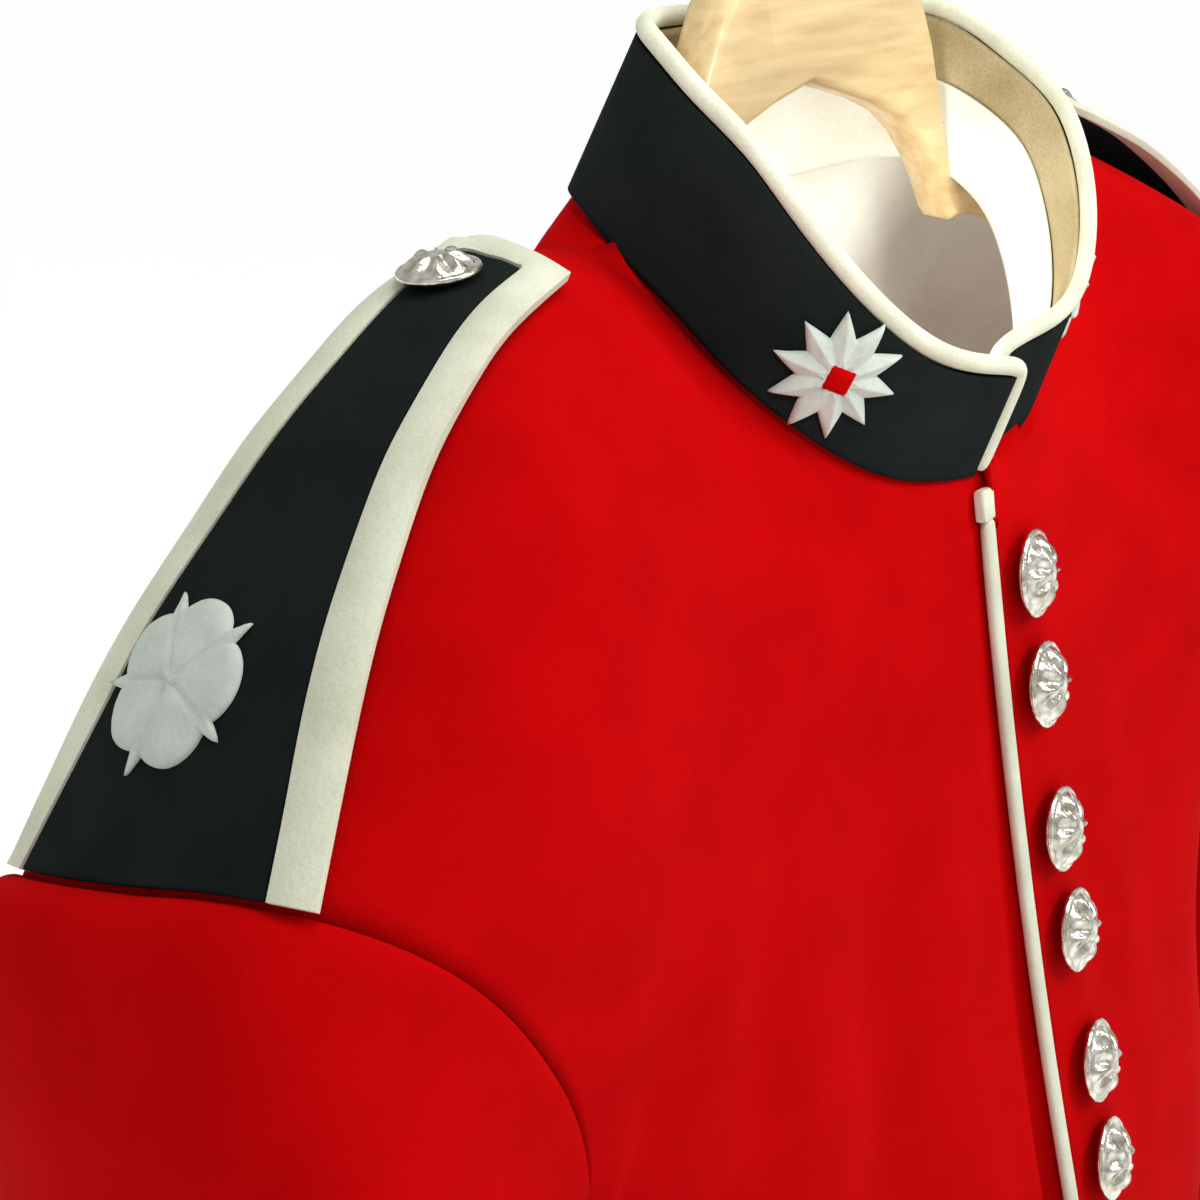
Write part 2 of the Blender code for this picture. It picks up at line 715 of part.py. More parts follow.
ROWS = list(range(UPPER_ROWS + len(LOWER_HEIGHTS)))
LINING_ROWS = slice(0, 9)
LINING_EDGE = 4.0
SIDES = {"left": 1, "right": -1}
EDGE_COLUMN = (PIPING_X + PIPING_HALF_WIDTH + GAP) / FRONT_GRAIN[1].at
FRONT_LAST = HALVES["front"].count - 1
BACK_LAST = HALVES["back"].count - 1
FRONT_CORNER = HALVES["front"].corner
BACK_CORNER = HALVES["back"].corner
LINING_OUT = -CLOTH - LINING_GAP


def share_normals(front, back):
    """Gives the front and back one normal where they meet at the shoulder and the side."""
    for i in range(FRONT_CORNER - FRONT_LAST - 1, 0):
        both = unit(front[i, 0] + back[i, 0])
        front[i, 0] = back[i, 0] = both
    for j in range(UPPER_ROWS, len(ROWS)):
        both = unit(front[-1, j] + back[-1, j])
        front[-1, j] = back[-1, j] = both


def make_body():
    """Both fronts, the back in one piece, and the upper part of their lining."""
    spans = {"left": [EDGE_COLUMN] + list(range(1, FRONT_LAST + 1)),
             "right": list(range(-2, FRONT_LAST + 1))}
    lining_first = {"left": 3, "right": 2}
    backs = []
    shells = {}
    for name, side in SIDES.items():
        front = grid_of(cloth_point(side, "front", name == "left"), -side, spans[name], ROWS)
        back = grid_of(cloth_point(side, "back", False), side, range(BACK_LAST + 1), ROWS)
        share_normals(front[1], back[1])
        shells[side] = {"front": front, "back": back}
        grid, normals = front
        edges = {"first_row": SEAM, "first_column": SEAM, "last_column": SEAM}
        layer("front_" + name, grid, normals, 0.0, CLOTH, edges, "scarlet_wool")
        first = spans[name].index(lining_first[name])
        layer("lining_front_" + name, grid[first:, LINING_ROWS], normals[first:, LINING_ROWS], LINING_OUT,
              LINING, {"first_row": SEAM, "last_column": LINING_EDGE}, "cream_lining")
        backs.append(back)
    left, right = backs
    grid = np.concatenate((right[0][:0:-1], left[0]))
    normals = np.concatenate((right[1][:0:-1], left[1]))
    edges = {"first_row": SEAM, "first_column": SEAM, "last_column": SEAM}
    layer("back", grid, normals, 0.0, CLOTH, edges, "scarlet_wool")
    edges = {"first_row": SEAM, "first_column": LINING_EDGE, "last_column": LINING_EDGE}
    layer("lining_back", grid[:, LINING_ROWS], normals[:, LINING_ROWS], LINING_OUT, LINING, edges,
          "cream_lining")
    return shells


# Sleeves
def sleeve_point(side):
    """A sleeve's outer face: w goes round it from the top over the front, k counts rings."""
    rows = np.array(SLEEVE, float)

    def point(w, k):
        w = w % 1.0
        out_x, out_z, in_x, in_z, front, back, follow = through(range(len(SLEEVE)), rows, k)
        angle = 2 * math.pi * w
        cosine, sine = math.cos(angle), math.sin(angle)
        reach = math.copysign(abs(cosine) ** SLEEVE_ROUNDNESS, cosine)
        round_it = math.copysign(abs(sine) ** SLEEVE_ROUNDNESS, sine)
        middle = np.array([(out_x + in_x) / 2, (front + back) / 2, (out_z + in_z) / 2])
        arm = np.array([(out_x - in_x) / 2, 0.0, (out_z - in_z) / 2])
        place = middle + arm * reach + np.array([0.0, -(back - front) / 2 * round_it, 0.0])
        if follow > 0:
            hole = armhole("front", 2 * w) if w <= 0.5 else armhole("back", 2 - 2 * w)
            top = (1.0 + cosine) / 2
            push_out = (out_x - SLEEVE[0].out_reach) * top + (in_x - SLEEVE[0].in_reach) * (1 - top)
            push_up = (out_z - SLEEVE[0].out_height) * top + (in_z - SLEEVE[0].in_height) * (1 - top)
            push = np.array([push_out + SEAM, 0.0, push_up])
            place = place * (1 - follow) + (hole + push) * follow
        place = place + fold_push(w, k, place - middle)
        return place * (side, 1, 1)

    return point


def fold_push(w, k, away):
    """Moves a sleeve's point out or in where a drag fold crosses it."""
    depth = 0.0
    for fold in SLEEVE_FOLDS:
        share = (k - fold.ring) / (fold.ring_end - fold.ring)
        if 0.0 < share < 1.0:
            turn = (fold.around_end - fold.around + 0.5) % 1.0 - 0.5
            offset = (w - fold.around - turn * share + 0.5) % 1.0 - 0.5
            fade = ease(0.0, 0.3, share) * ease(1.0, 0.7, share)
            depth += fold.depth * fade * math.exp(-(offset / fold.width) ** 2)
    return unit(away) * depth


def around_share(step):
    """How far round the sleeve a step of the armhole lies."""
    turns, step = divmod(step, SLEEVE_AROUND)
    if step <= UPPER_ROWS:
        return turns + UPPER_SHARES[step] / 2
    return turns + 1 - UPPER_SHARES[SLEEVE_AROUND - step] / 2


def armhole_rim(shell, step):
    """The edge of the body's cloth at a step round the armhole, its normal and the way out of it."""
    face, row = ("front", step) if step <= SLEEVE_AROUND // 2 else ("back", SLEEVE_AROUND - step)
    grid, normals = shell[face]
    away = unit(grid[-1, row] - grid[-2, row])
    if row == 0:
        other = shell["back" if face == "front" else "front"][0]
        away = unit(away + unit(other[-1, row] - other[-2, row]))
    under = ease(UNDERARM_ROW, UPPER_ROWS - 0.2, row)
    return grid[-1, row], normals[-1, row], away, under, ease(6, 8, row)


def make_sleeves(shells):
    """Each sleeve in two pieces with a seam in front and one behind."""
    rings = list(range(len(SLEEVE)))
    spans = {"top": range(BACK_SEAM_AT - SLEEVE_AROUND, FRONT_SEAM_AT + 1),
             "under": range(FRONT_SEAM_AT, BACK_SEAM_AT + 1)}
    for name, side in SIDES.items():
        point = sleeve_point(side)
        for part, span in spans.items():
            around = [around_share(step) for step in span]
            grid = np.zeros((len(around), len(rings), 3))
            normals = np.zeros_like(grid)
            for i, w in enumerate(around):
                for j, k in enumerate(rings):
                    grid[i, j], normals[i, j] = surface(
                        point, w, k, side, step=0.01, v_range=(0, len(rings) - 1))
                rim, normal, away, under, low = armhole_rim(shells[side], span[i] % SLEEVE_AROUND)
                away = unit(away * (1 - under) + np.array([side * 1.6, 0.0, 0.4]) * under)
                grid[i, 0] = rim + away * (SEAM * 2 + low * UNDERARM_SPACE)
                normals[i, 0] = unit(normal * (1 - under) + normals[i, 0] * under)
            layer("sleeve_%s_%s" % (name, part), grid, normals, 0.0, CLOTH,
                  {"first_column": SEAM, "last_column": SEAM}, "scarlet_wool")


# Collar
def collar_surface(side):
    """The collar's outer face: turn from the front, share of its height."""

    def point(turn, share):
        seat, rim = seat_point(turn), rim_point(turn)
        if side > 0:
            tuck = 1.0 - ease(0.0, TUCK_SPREAD, turn)
            seat = seat + np.array([0.0, TUCK_SEAT * tuck, 0.0])
            rim = rim + np.array([0.0, TUCK_RIM * tuck, TUCK_LIFT * tuck])
        return seat * (1 - share) + rim * share

    return point


def end_turn(side, share, space):
    """The turn where a collar's cloth ends at its front edge."""
    if side < 0:
        x = PIPING_X * (1 - share) - space
    else:
        x = LEFT_END_SEAT_X * (1 - share) + LEFT_END_RIM_X * share + space
    ratio = abs(x) / SEAT_HALF_WIDTH
    return math.copysign(math.degrees(math.asin(ratio ** (1 / FRONT_ROUNDNESS))), x)


def collar_grid(side, low, high, space):
    """Points and normals of the collar between two distances up from its seat or down from its top.

    A fraction below one counts as a share of the height, and a negative distance is taken from the top.
    """
    point = collar_surface(side)
    places = np.zeros((len(ROUND_SHARES), COLLAR_ROWS, 3))
    normals = np.zeros_like(places)
    for i, share_round in enumerate(ROUND_SHARES):
        rough = side * 180.0 * share_round
        height = np.linalg.norm(point(rough, 1.0) - point(rough, 0.0))
        bottom = low / height if abs(low) >= 1 else low
        top = 1 + high / height if high < 0 else high
        for j in range(COLLAR_ROWS):
            share = bottom + (top - bottom) * j / (COLLAR_ROWS - 1)
            start = end_turn(side, share, space)
            turn = start + (side * BACK_TURN - start) * share_round
            places[i, j], normals[i, j] = surface(point, turn, share, 1, step=0.1)
    return places, normals


ROUND_SHARES = [0, 0.05, 0.11, 0.18, 0.26, 0.34, 0.42, 0.49, 0.55, 0.61, 0.68, 0.78, 0.89, 1.0]
COLLAR_ROWS = 4
BACK_TURN = 179.99


def make_collar():
    """Outer cloth, facing, lining and piping of both collar halves."""
    space = COLLAR_PIPING + GAP
    seam = {"last_column": SEAM}
    for name, side in SIDES.items():
        grid, normals = collar_grid(side, 1.9, -space - 0.4, space + 0.4)
        layer("collar_" + name, grid, normals, 0.0, COLLAR_CLOTH, seam, "black_wool")
        out = -COLLAR_CLOTH - GAP
        grid, normals = collar_grid(side, 0.50, -space - 0.6, space + 1.0)
        layer("collar_facing_" + name, grid, normals, out, COLLAR_FACING, seam, "tan_facing")
        out -= COLLAR_FACING + 2 * GAP
        grid, normals = collar_grid(side, 1.0, 0.52, space + 1.6)
        layer("collar_lining_" + name, grid, normals, out, LINING, seam, "cream_lining")
        make_collar_piping(name, side)


def make_collar_piping(name, side):
    """White piping up the collar's front edge and round its top."""
    point = collar_surface(side)
    half = COLLAR_PIPING
    stops = [(end_turn(side, share, 0.0), share) for share in (0.09, 0.32, 0.6, 0.84)]
    corner = end_turn(side, 1.0, 0.0)
    stops += [(corner + side * 0.5, 0.945), (corner + side * 2.2, 0.99)]
    stops += [(corner + (side * BACK_TURN - corner) * share, 1.0) for share in ROUND_SHARES[1:]]
    path = []
    outward = []
    for turn, share in stops:
        place, normal = surface(point, turn, share, 1, step=0.1)
        path.append(place - normal * COLLAR_CLOTH / 2)
        outward.append(normal)
    cord("collar_piping_" + name, path, outward, half, half - 0.2, "white_wool")


# What lies on the cloth
class Ground:
    """The outer faces of cloth that later pieces are laid on."""

    def __init__(self, grids):
        vertices, faces = [], []
        for grid in grids:
            first = len(vertices)
            vertices += [Vector(place) for place in grid.reshape(-1, 3)]
            columns = grid.shape[1]
            for i in range(grid.shape[0] - 1):
                for j in range(columns - 1):
                    a = first + i * columns + j
                    b = a + columns
                    faces += [(a, b, b + 1), (a, b + 1, a + 1)]
        self.tree = BVHTree.FromPolygons(vertices, faces)

    def below(self, origin, direction):
        """Where a line from the origin meets the surface, with the normal that faces the origin."""
        place, normal, index, distance = self.tree.ray_cast(Vector(origin), Vector(direction))
        normal = -normal if normal.dot(Vector(direction)) > 0 else normal
        return np.array(place), np.array(normal)

    def shoulder(self, x, y):
        return self.below((x, y, 150.0), (0, 0, -1))

    def breast(self, x, z):
        return self.below((x, -300.0, z), (0, 1, 0))


def make_button(name, place, normal, radius):
    """A domed button with a rim, turned about its shank."""
    height = BUTTON_HEIGHT * radius / BUTTON_RADIUS
    profile = [(0, 1), (0.38, 0.90), (0.70, 0.56), (0.90, 0.26), (1, 0.20), (1, 0.08), (0.93, 0), (0, 0)]
    mesh = bpy.data.meshes.new(name)
    points = [(reach * radius * MM, 0, rise * height * MM) for reach, rise in profile]
    mesh.from_pydata(points, [(i, i + 1) for i in range(len(points) - 1)], [])
    button = piece(name, mesh, "silver")
    turn = button.modifiers.new("turned", "SCREW")
    turn.steps = turn.render_steps = 14
    turn.use_merge_vertices = True
    turn.merge_threshold = 0.00001
    button.location = world(place + normal * GAP * 1.6)
    button.rotation_euler = Vector((0, 0, 1)).rotation_difference(Vector(normal)).to_euler()
    return button


def make_closure(left_front):
    """Piping, tab and buttons on the left front's edge."""
    ground = Ground([left_front])
    edge = cloth_point(1, "front", False)
    under = [edge(PIPING_X / FRONT_GRAIN[1].at, v) for v in np.linspace(0, ROWS[-1], 41)]
    run = run_along(np.array(under))
    tab_length = TAB_SIZE[2]
    path, outward = [], []
    for at in np.linspace(tab_length + 1.2, run[-1] - SEAM, 30):
        place = along(np.array(under), run, at)
        ahead = along(np.array(under), run, at + 1.0) - along(np.array(under), run, at - 1.0)
        normal = unit(np.cross((1.0, 0.0, 0.0), ahead))
        normal = normal if normal[1] < 0 else -normal
        path.append(place + normal * (PIPING_HALF_DEPTH + GAP + 0.1))
        outward.append(normal)
    cord("front_piping", path, outward, PIPING_HALF_WIDTH, PIPING_HALF_DEPTH, "white_wool")
    make_tab(along(np.array(under), run, 0.6), along(np.array(under), run, tab_length + 0.6), outward[0])

    line = np.array([ground.breast(BUTTON_XS[0], z)[0] for z in np.linspace(-48, -470, 300)])
    line_run = run_along(line)
    at = FIRST_BUTTON
    for index, x in enumerate(BUTTON_XS):
        height = along(line, line_run, at)[2]
        place, normal = ground.breast(x, height)
        lean = math.radians(BUTTON_LEAN)
        facing = unit(normal * math.cos(lean) + np.array([math.sin(lean), 0.0, 0.0]))
        clear = BUTTON_RADIUS * math.sin(lean) * 0.8
        make_button("button_%02d" % (index + 1), place + normal * clear, facing, BUTTON_RADIUS)
        at += BUTTON_IN_PAIR if index % 2 == 0 else BUTTON_TO_NEXT_PAIR


def make_tab(top, bottom, normal):
    """The folded end of the front piping, a small soft block."""
    width, depth, length = TAB_SIZE
    down = unit(bottom - top)
    across = np.cross(down, normal)
    builder = bmesh.new()
    bmesh.ops.create_cube(builder, size=1.0)
    middle = (top + bottom) / 2 + normal * (depth / 2 + GAP + 0.3) + np.array([TAB_X, 0.0, 0.0])
    for corner in builder.verts:
        x, y, z = corner.co
        place = middle + across * x * width + normal * y * depth + down * z * length
        corner.co = Vector(world(place))
    bmesh.ops.bevel(builder, geom=builder.edges[:], offset=0.9 * MM, segments=2, profile=0.5,
                    affect="EDGES", material=-1)
    bmesh.ops.recalc_face_normals(builder, faces=builder.faces)
    mesh = bpy.data.meshes.new("front_piping_tab")
    builder.to_mesh(mesh)
    builder.free()
    piece("front_piping_tab", mesh, "white_wool")


class Strap:
    """The plan of one shoulder strap: along it from the neck, across it from its middle."""

    def __init__(self, side, shell, ground):
        self.side = side
        self.ground = ground
        front, back = shell["front"][0][-1, :5], shell["back"][0][-1, 1:5]
        self.top = np.concatenate((front[::-1], back)) * (side, 1, 1)
        self.length = ARMHOLE_FRONT[0].reach - STRAP_NECK_END

    def end_reach(self, y):
        return float(np.interp(y, self.top[:, 1], self.top[:, 0])) - STRAP_SHORT_OF_SEAM

    def half_width(self, share):
        waist = STRAP_WAIST * math.sin(math.pi * share)
        return STRAP_NECK_HALF + (STRAP_END_HALF - STRAP_NECK_HALF) * share - waist

    def plan(self, share, across):
        y = STRAP_NECK_BACK + (STRAP_END_BACK - STRAP_NECK_BACK) * share + across
        end = self.end_reach(STRAP_END_BACK + across / self.half_width(share) * STRAP_END_HALF)
        return (STRAP_NECK_END + (end - STRAP_NECK_END) * share) * self.side, y

    def on(self, share, across):
        return self.ground.shoulder(*self.plan(share, across))


def make_strap(name, side, shell, ground):
    """Black strap cloth inside a white edging that is mitred at the neck end."""
    strap = Strap(side, shell, ground)
    first = EDGING_WIDTH / strap.length
    shares = [first + (1 - first) * step / 12 for step in range(13)]
    start = first + (GAP + 0.1) / strap.length
    black = [[strap.on(max(share, start), (strap.half_width(share) - EDGING_WIDTH - GAP) * step)
              for step in (-1, -0.66, -0.33, 0, 0.33, 0.66, 1)] for share in shares]
    places = np.array([[spot[0] for spot in row] for row in black])
    normals = np.array([[spot[1] for spot in row] for row in black])
    wall("strap_" + name, places + normals * (LAID + STRAP_CLOTH), places + normals * LAID, "black_wool")

    pairs = [((share, strap.half_width(share)), (share, strap.half_width(share) - EDGING_WIDTH))
             for share in reversed(shares)]
    inner_half = strap.half_width(first) - EDGING_WIDTH
    pairs += [((0, STRAP_NECK_HALF * part), (first, inner_half * part)) for part in (1, 0.67, 0.33, 0)]
    pairs += [(tuple(np.array(outer) * (1, -1)), tuple(np.array(inner) * (1, -1)))
              for outer, inner in reversed(pairs[:-1])]
    outer_grid, inner_grid = [], []
    for outer, inner in pairs:
        row_top, row_bottom = [], []
        for share, rise in ((0.0, 0.72), (0.3, 1.0), (0.7, 1.0), (1.0, 0.72)):
            spot = np.array(outer) * (1 - share) + np.array(inner) * share
            place, normal = strap.on(*spot)
            row_top.append(place + normal * (LAID + EDGING_CLOTH * rise))
            row_bottom.append(place + normal * LAID)
        outer_grid.append(row_top)
        inner_grid.append(row_bottom)
    wall("strap_edging_" + name, np.array(outer_grid), np.array(inner_grid), "white_wool")

    place, normal = ground.shoulder(STRAP_BUTTON_AT[0] * side, STRAP_BUTTON_AT[1])
    make_button("strap_button_" + name, place + normal * (LAID + STRAP_CLOTH), normal, STRAP_BUTTON_RADIUS)
    make_flower(name, side, ground)


def medal(name, outline, middle_rings, lay, material):
    """A raised badge: rings of points from the middle to its outline, laid on a surface."""
    count = len(outline)
    levels = [(scale, rise) for scale, rise in middle_rings]
    levels += [(scale, 0.0) for scale, rise in reversed(middle_rings)]
    vertices = [lay(0.0, 0.0, middle_rings[0][1])]
    for scale, rise in levels:
        vertices += [lay(a * scale, b * scale, rise) for a, b in outline]
    vertices.append(lay(0.0, 0.0, 0.0))
    faces = [(0, 1 + j, 1 + (j + 1) % count) for j in range(count)]
    for level in range(len(levels) - 1):
        base = 1 + level * count
        for j in range(count):
            k = (j + 1) % count
            faces.append((base + j, base + count + j, base + count + k, base + k))
    last = 1 + (len(levels) - 1) * count
    centre = len(vertices) - 1
    faces += [(last + (j + 1) % count, last + j, centre) for j in range(count)]
    return piece(name, closed_mesh(name, np.array(vertices), faces), material)


def make_flower(name, side, ground):
    """A five-petalled flower with a leaf tip between its petals, raised on the strap."""
    place, normal = ground.shoulder(FLOWER_AT[0] * side, FLOWER_AT[1])
    out = unit(np.cross((0, 1, 0), normal)) * side
    out = out if out[0] * side > 0 else -out
    across = np.cross(normal, out)

    def lay(a, b, rise):
        origin = place + out * a + across * b + normal * 40
        spot, up = ground.below(origin, -normal)
        return spot + up * (LAID + STRAP_CLOTH + GAP + 0.15 + rise)

    outline = []
    for step in range(FLOWER_PETALS * 8):
        angle = 2 * math.pi * step / (FLOWER_PETALS * 8)
        phase = step % 8
        reach = (1.14, 0.84, 0.93, 0.99, 1.0, 0.99, 0.93, 0.84)[phase] * FLOWER_RADIUS
        outline.append((reach * math.cos(angle), reach * math.sin(angle)))
    rings = [(0.55, FLOWER_THICKNESS), (1.0, FLOWER_THICKNESS * 0.55)]
    medal("strap_flower_" + name, outline, rings, lay, "badge_white")


def make_star(name, side):
    """A plain star of ten points, raised on the collar."""
    point = collar_surface(side)
    turn, share = side * STAR_TURN, STAR_SHARE
    centre, normal = surface(point, turn, share, 1, step=0.1)
    per_turn = point(turn + 0.5, share) - point(turn - 0.5, share)
    per_share = point(turn, share + 0.5) - point(turn, share - 0.5)
    first = unit(per_turn)
    second = np.cross(normal, first)
    second = second if second[2] > 0 else -second
    axes = np.array([[per_turn @ first, per_share @ first], [per_turn @ second, per_share @ second]])

    def lay(a, b, rise):
        step_turn, step_share = np.linalg.solve(axes, (a, b))
        spot, out = surface(point, turn + step_turn, share + step_share, 1, step=0.1)
        return spot + out * (GAP + 0.25 + rise)

    outline = []
    for index in range(STAR_POINTS * 2):
        angle = math.pi / 2 + math.pi * index / STAR_POINTS
        reach = STAR_RADIUS if index % 2 == 0 else STAR_VALLEY
        outline.append((reach * math.cos(angle), reach * math.sin(angle)))
    medal("collar_star_" + name, outline, [(0.34, STAR_PEAK), (1.0, STAR_EDGE)], lay, "badge_white")


# Hanger
def make_hanger(grounds):
    """A shaped wooden hanger whose arms end just inside the sleeves."""
    reaches = [row.reach for row in HANGER]
    values = [(row.top, row.bottom, row.back) for row in HANGER]
    stations = [204, 200, 184, 166, 148, 130, 112, 98, 86, 76, 69, 62, 54, 44, 32, 16]
    rings = []
    for x in [-station for station in stations] + [0] + stations[::-1]:
        top, bottom, back = through(reaches, values, abs(x))
        half = HANGER_HALF_DEPTH * (0.6 if abs(x) > 202 else 1.0)
        raised = lift(x, LIFT_BACK) * HANGER_RISE
        top, bottom = top + raised, bottom + raised
        if abs(x) > 72:
            side = 1 if x > 0 else -1
            top = arm_top(grounds[side], side, max(abs(x), 84), back, HANGER_HALF_DEPTH)
            bottom = min(bottom, top - 14)
        if abs(x) > 202:
            top, bottom = top - 4, bottom + 4
        edge = HANGER_CHAMFER
        shape = [(-half, bottom + edge), (-half, top - edge), (-half + edge * 0.8, top),
                 (half - edge * 0.8, top), (half, top - edge), (half, bottom + edge),
                 (half - edge * 0.8, bottom), (-half + edge * 0.8, bottom)]
        rings.append([(x, back + across, height) for across, height in shape])
    loft("hanger", np.array(rings), "beech")


def arm_top(ground, side, reach, back, half):
    """Height of an arm's top that clears the lining over its whole depth."""
    under = CLOTH + LINING + GAP * 2 + HANGER_CLEAR
    heights = []
    for near in (reach - 4, reach, reach + 4):
        for across in (-half, 0.0, half):
            place, normal = ground.shoulder(side * near, back + across)
            heights.append(place[2] - under / normal[2])
    return min(heights)


def make_hook():
    """The steel hook: a stem with a small flange, and a bend that the rail carries."""
    x, back, rest = HOOK_REST
    top = HANGER[0].top + GAP
    centre = rest - HOOK_RADIUS + HOOK_WIRE
    path = [(0, back, top), (0, back, top + 8), (0, back, HOOK_STEM_TOP)]
    radius = HOOK_RADIUS
    start = math.radians(-62)
    for step in range(17):
        angle = start + math.radians(242) * step / 16
        path.append((radius * math.cos(angle), back, centre + radius * math.sin(angle)))
    curve = bpy.data.curves.new("hook_line", "CURVE")
    curve.dimensions = "3D"
    curve.bevel_depth = HOOK_WIRE * MM
    curve.bevel_resolution = 2
    curve.use_fill_caps = True
    spline = curve.splines.new("POLY")
    spline.points.add(len(path) - 1)
    for point, place in zip(spline.points, path):
        point.co = (*world(place), 1.0)
    guide = bpy.data.objects.new("hook_line", curve)
    tunic.objects.link(guide)
    depsgraph = bpy.context.evaluated_depsgraph_get()
    mesh = bpy.data.meshes.new_from_object(guide.evaluated_get(depsgraph))
    bpy.data.objects.remove(guide, do_unlink=True)
    builder = bmesh.new()
    builder.from_mesh(mesh)
    bmesh.ops.remove_doubles(builder, verts=builder.verts, dist=0.00001)
    bmesh.ops.recalc_face_normals(builder, faces=builder.faces)
    builder.to_mesh(mesh)
    builder.free()
    piece("hanger_hook", mesh, "steel")


shells = make_body()
make_sleeves(shells)
make_collar()
make_closure(shells[1]["front"][0])
grounds = {}
for side_name, side in SIDES.items():
    shell = shells[side]
    grounds[side] = Ground([shell["front"][0], shell["back"][0]])
    make_strap(side_name, side, shell, grounds[side])
    make_star(side_name, side)
make_hanger(grounds)
make_hook()
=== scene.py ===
"""A foot guards tunic on its wooden hanger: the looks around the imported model."""
import math

import bmesh
import bpy
from mathutils import Matrix, Vector
from mathutils.bvhtree import BVHTree


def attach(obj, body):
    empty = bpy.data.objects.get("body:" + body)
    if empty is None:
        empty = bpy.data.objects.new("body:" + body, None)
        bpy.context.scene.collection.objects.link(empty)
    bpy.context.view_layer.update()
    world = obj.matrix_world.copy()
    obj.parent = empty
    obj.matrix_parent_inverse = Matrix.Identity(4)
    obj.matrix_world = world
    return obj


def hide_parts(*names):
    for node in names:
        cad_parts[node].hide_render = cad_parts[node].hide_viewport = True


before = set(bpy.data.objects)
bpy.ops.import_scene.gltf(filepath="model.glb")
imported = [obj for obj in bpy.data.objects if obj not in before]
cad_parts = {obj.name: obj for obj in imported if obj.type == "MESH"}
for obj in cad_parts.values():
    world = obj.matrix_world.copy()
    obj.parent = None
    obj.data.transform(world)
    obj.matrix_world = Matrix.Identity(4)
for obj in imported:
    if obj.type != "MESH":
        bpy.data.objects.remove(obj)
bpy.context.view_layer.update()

# Body of the tunic
# Two fronts and a back cut from milled scarlet wool, lined, and sewn together at
# the shoulders and sides. They hang from the hanger in long soft folds.
MM = 0.001
SHARP = math.radians(48)
MERGE_SPACE = 0.00002
# Heights of creases count from the neck's seat, this many millimetres below the hook
HOOK_RISE = 188.0
BODY_AXIS_BACK = -0.012
BODY_FLATNESS = 2.2


def ease(low, high, value):
    """A soft step from nought at low to one at high."""
    share = min(max((value - low) / (high - low), 0.0), 1.0)
    return share * share * (3.0 - 2.0 * share)


def merged_copy(node):
    """The node's own mesh with its loose triangles joined up."""
    shape = bmesh.new()
    shape.from_mesh(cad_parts[node].data)
    bmesh.ops.remove_doubles(shape, verts=shape.verts, dist=MERGE_SPACE)
    return shape


def smooth_regions(shape):
    """Its faces in groups that have no sharp edge inside."""
    for face in shape.faces:
        face.tag = False
    regions = []
    for first in shape.faces:
        if first.tag:
            continue
        first.tag = True
        region = [first]
        for face in region:
            for edge in face.edges:
                if len(edge.link_faces) == 2 and edge.calc_face_angle() < SHARP:
                    for other in edge.link_faces:
                        if not other.tag:
                            other.tag = True
                            region.append(other)
        regions.append(region)
    return regions


def corner_across(face, edge):
    """The corner of a triangle that an edge of it doesn't touch."""
    return [vert for vert in face.verts if vert not in edge.verts][0]


def join_squares(shape):
    """Takes out the slanting edge that halves each square of the cloth's grid."""
    slanting = []
    for region in smooth_regions(shape):
        inside = set(face.index for face in region)
        kinds = {edge.index: kind for kind, edge in enumerate(region[0].edges)}
        reached = [region[0]]
        seen = {region[0].index}
        for face in reached:
            for edge in face.edges:
                if edge.calc_face_angle(9.0) > SHARP:
                    continue
                for other in edge.link_faces:
                    if other.index in seen or other.index not in inside:
                        continue
                    start, end = edge.verts
                    near = corner_across(face, edge)
                    far = corner_across(other, edge)
                    for a, b, c in ((start, end, far), (end, start, far)):
                        like = shape.edges.get((near, a))
                        new = shape.edges.get((b, c))
                        kinds[new.index] = kinds[like.index]
                    seen.add(other.index)
                    reached.append(other)
        lengths = {0: [], 1: [], 2: []}
        for edge in shape.edges:
            if edge.index in kinds:
                lengths[kinds[edge.index]].append(edge.calc_length())
        longest = max(lengths, key=lambda kind: sum(lengths[kind]) / max(len(lengths[kind]), 1))
        for edge in shape.edges:
            if kinds.get(edge.index) == longest and edge.calc_face_angle(9.0) < SHARP:
                slanting.append(edge)
    bmesh.ops.dissolve_edges(shape, edges=slanting, use_verts=False)


def outer_skin(node, outward):
    """The side of a wall of cloth that faces outwards, as one open grid of squares."""
    shape = merged_copy(node)
    shape.faces.index_update()
    shape.edges.index_update()
    regions = smooth_regions(shape)
    best = max(regions, key=lambda region: sum(
        face.calc_area() * face.normal.dot(outward(face.calc_center_median())) for face in region))
    keep = set(face.index for face in best)
    others = [face for face in shape.faces if face.index not in keep]
    bmesh.ops.delete(shape, geom=others, context="FACES")
    shape.faces.index_update()
    shape.edges.index_update()
    join_squares(shape)
    return shape


def to_object(shape, name):
    """A new piece with the shape's mesh."""
    mesh = bpy.data.meshes.new(name)
    shape.to_mesh(mesh)
    shape.free()
    piece = bpy.data.objects.new(name, mesh)
    bpy.context.scene.collection.objects.link(piece)
    return piece


def rounded(shape, levels):
    """The same shape with its squares divided and rounded off."""
    rough = to_object(shape, "rough")
    step = rough.modifiers.new("Rounding", "SUBSURF")
    step.levels = levels
    step.render_levels = levels
    step.boundary_smooth = "PRESERVE_CORNERS"
    ready = rough.evaluated_get(bpy.context.evaluated_depsgraph_get())
    mesh = bpy.data.meshes.new_from_object(ready)
    finer = bmesh.new()
    finer.from_mesh(mesh)
    bpy.data.objects.remove(rough)
    return finer


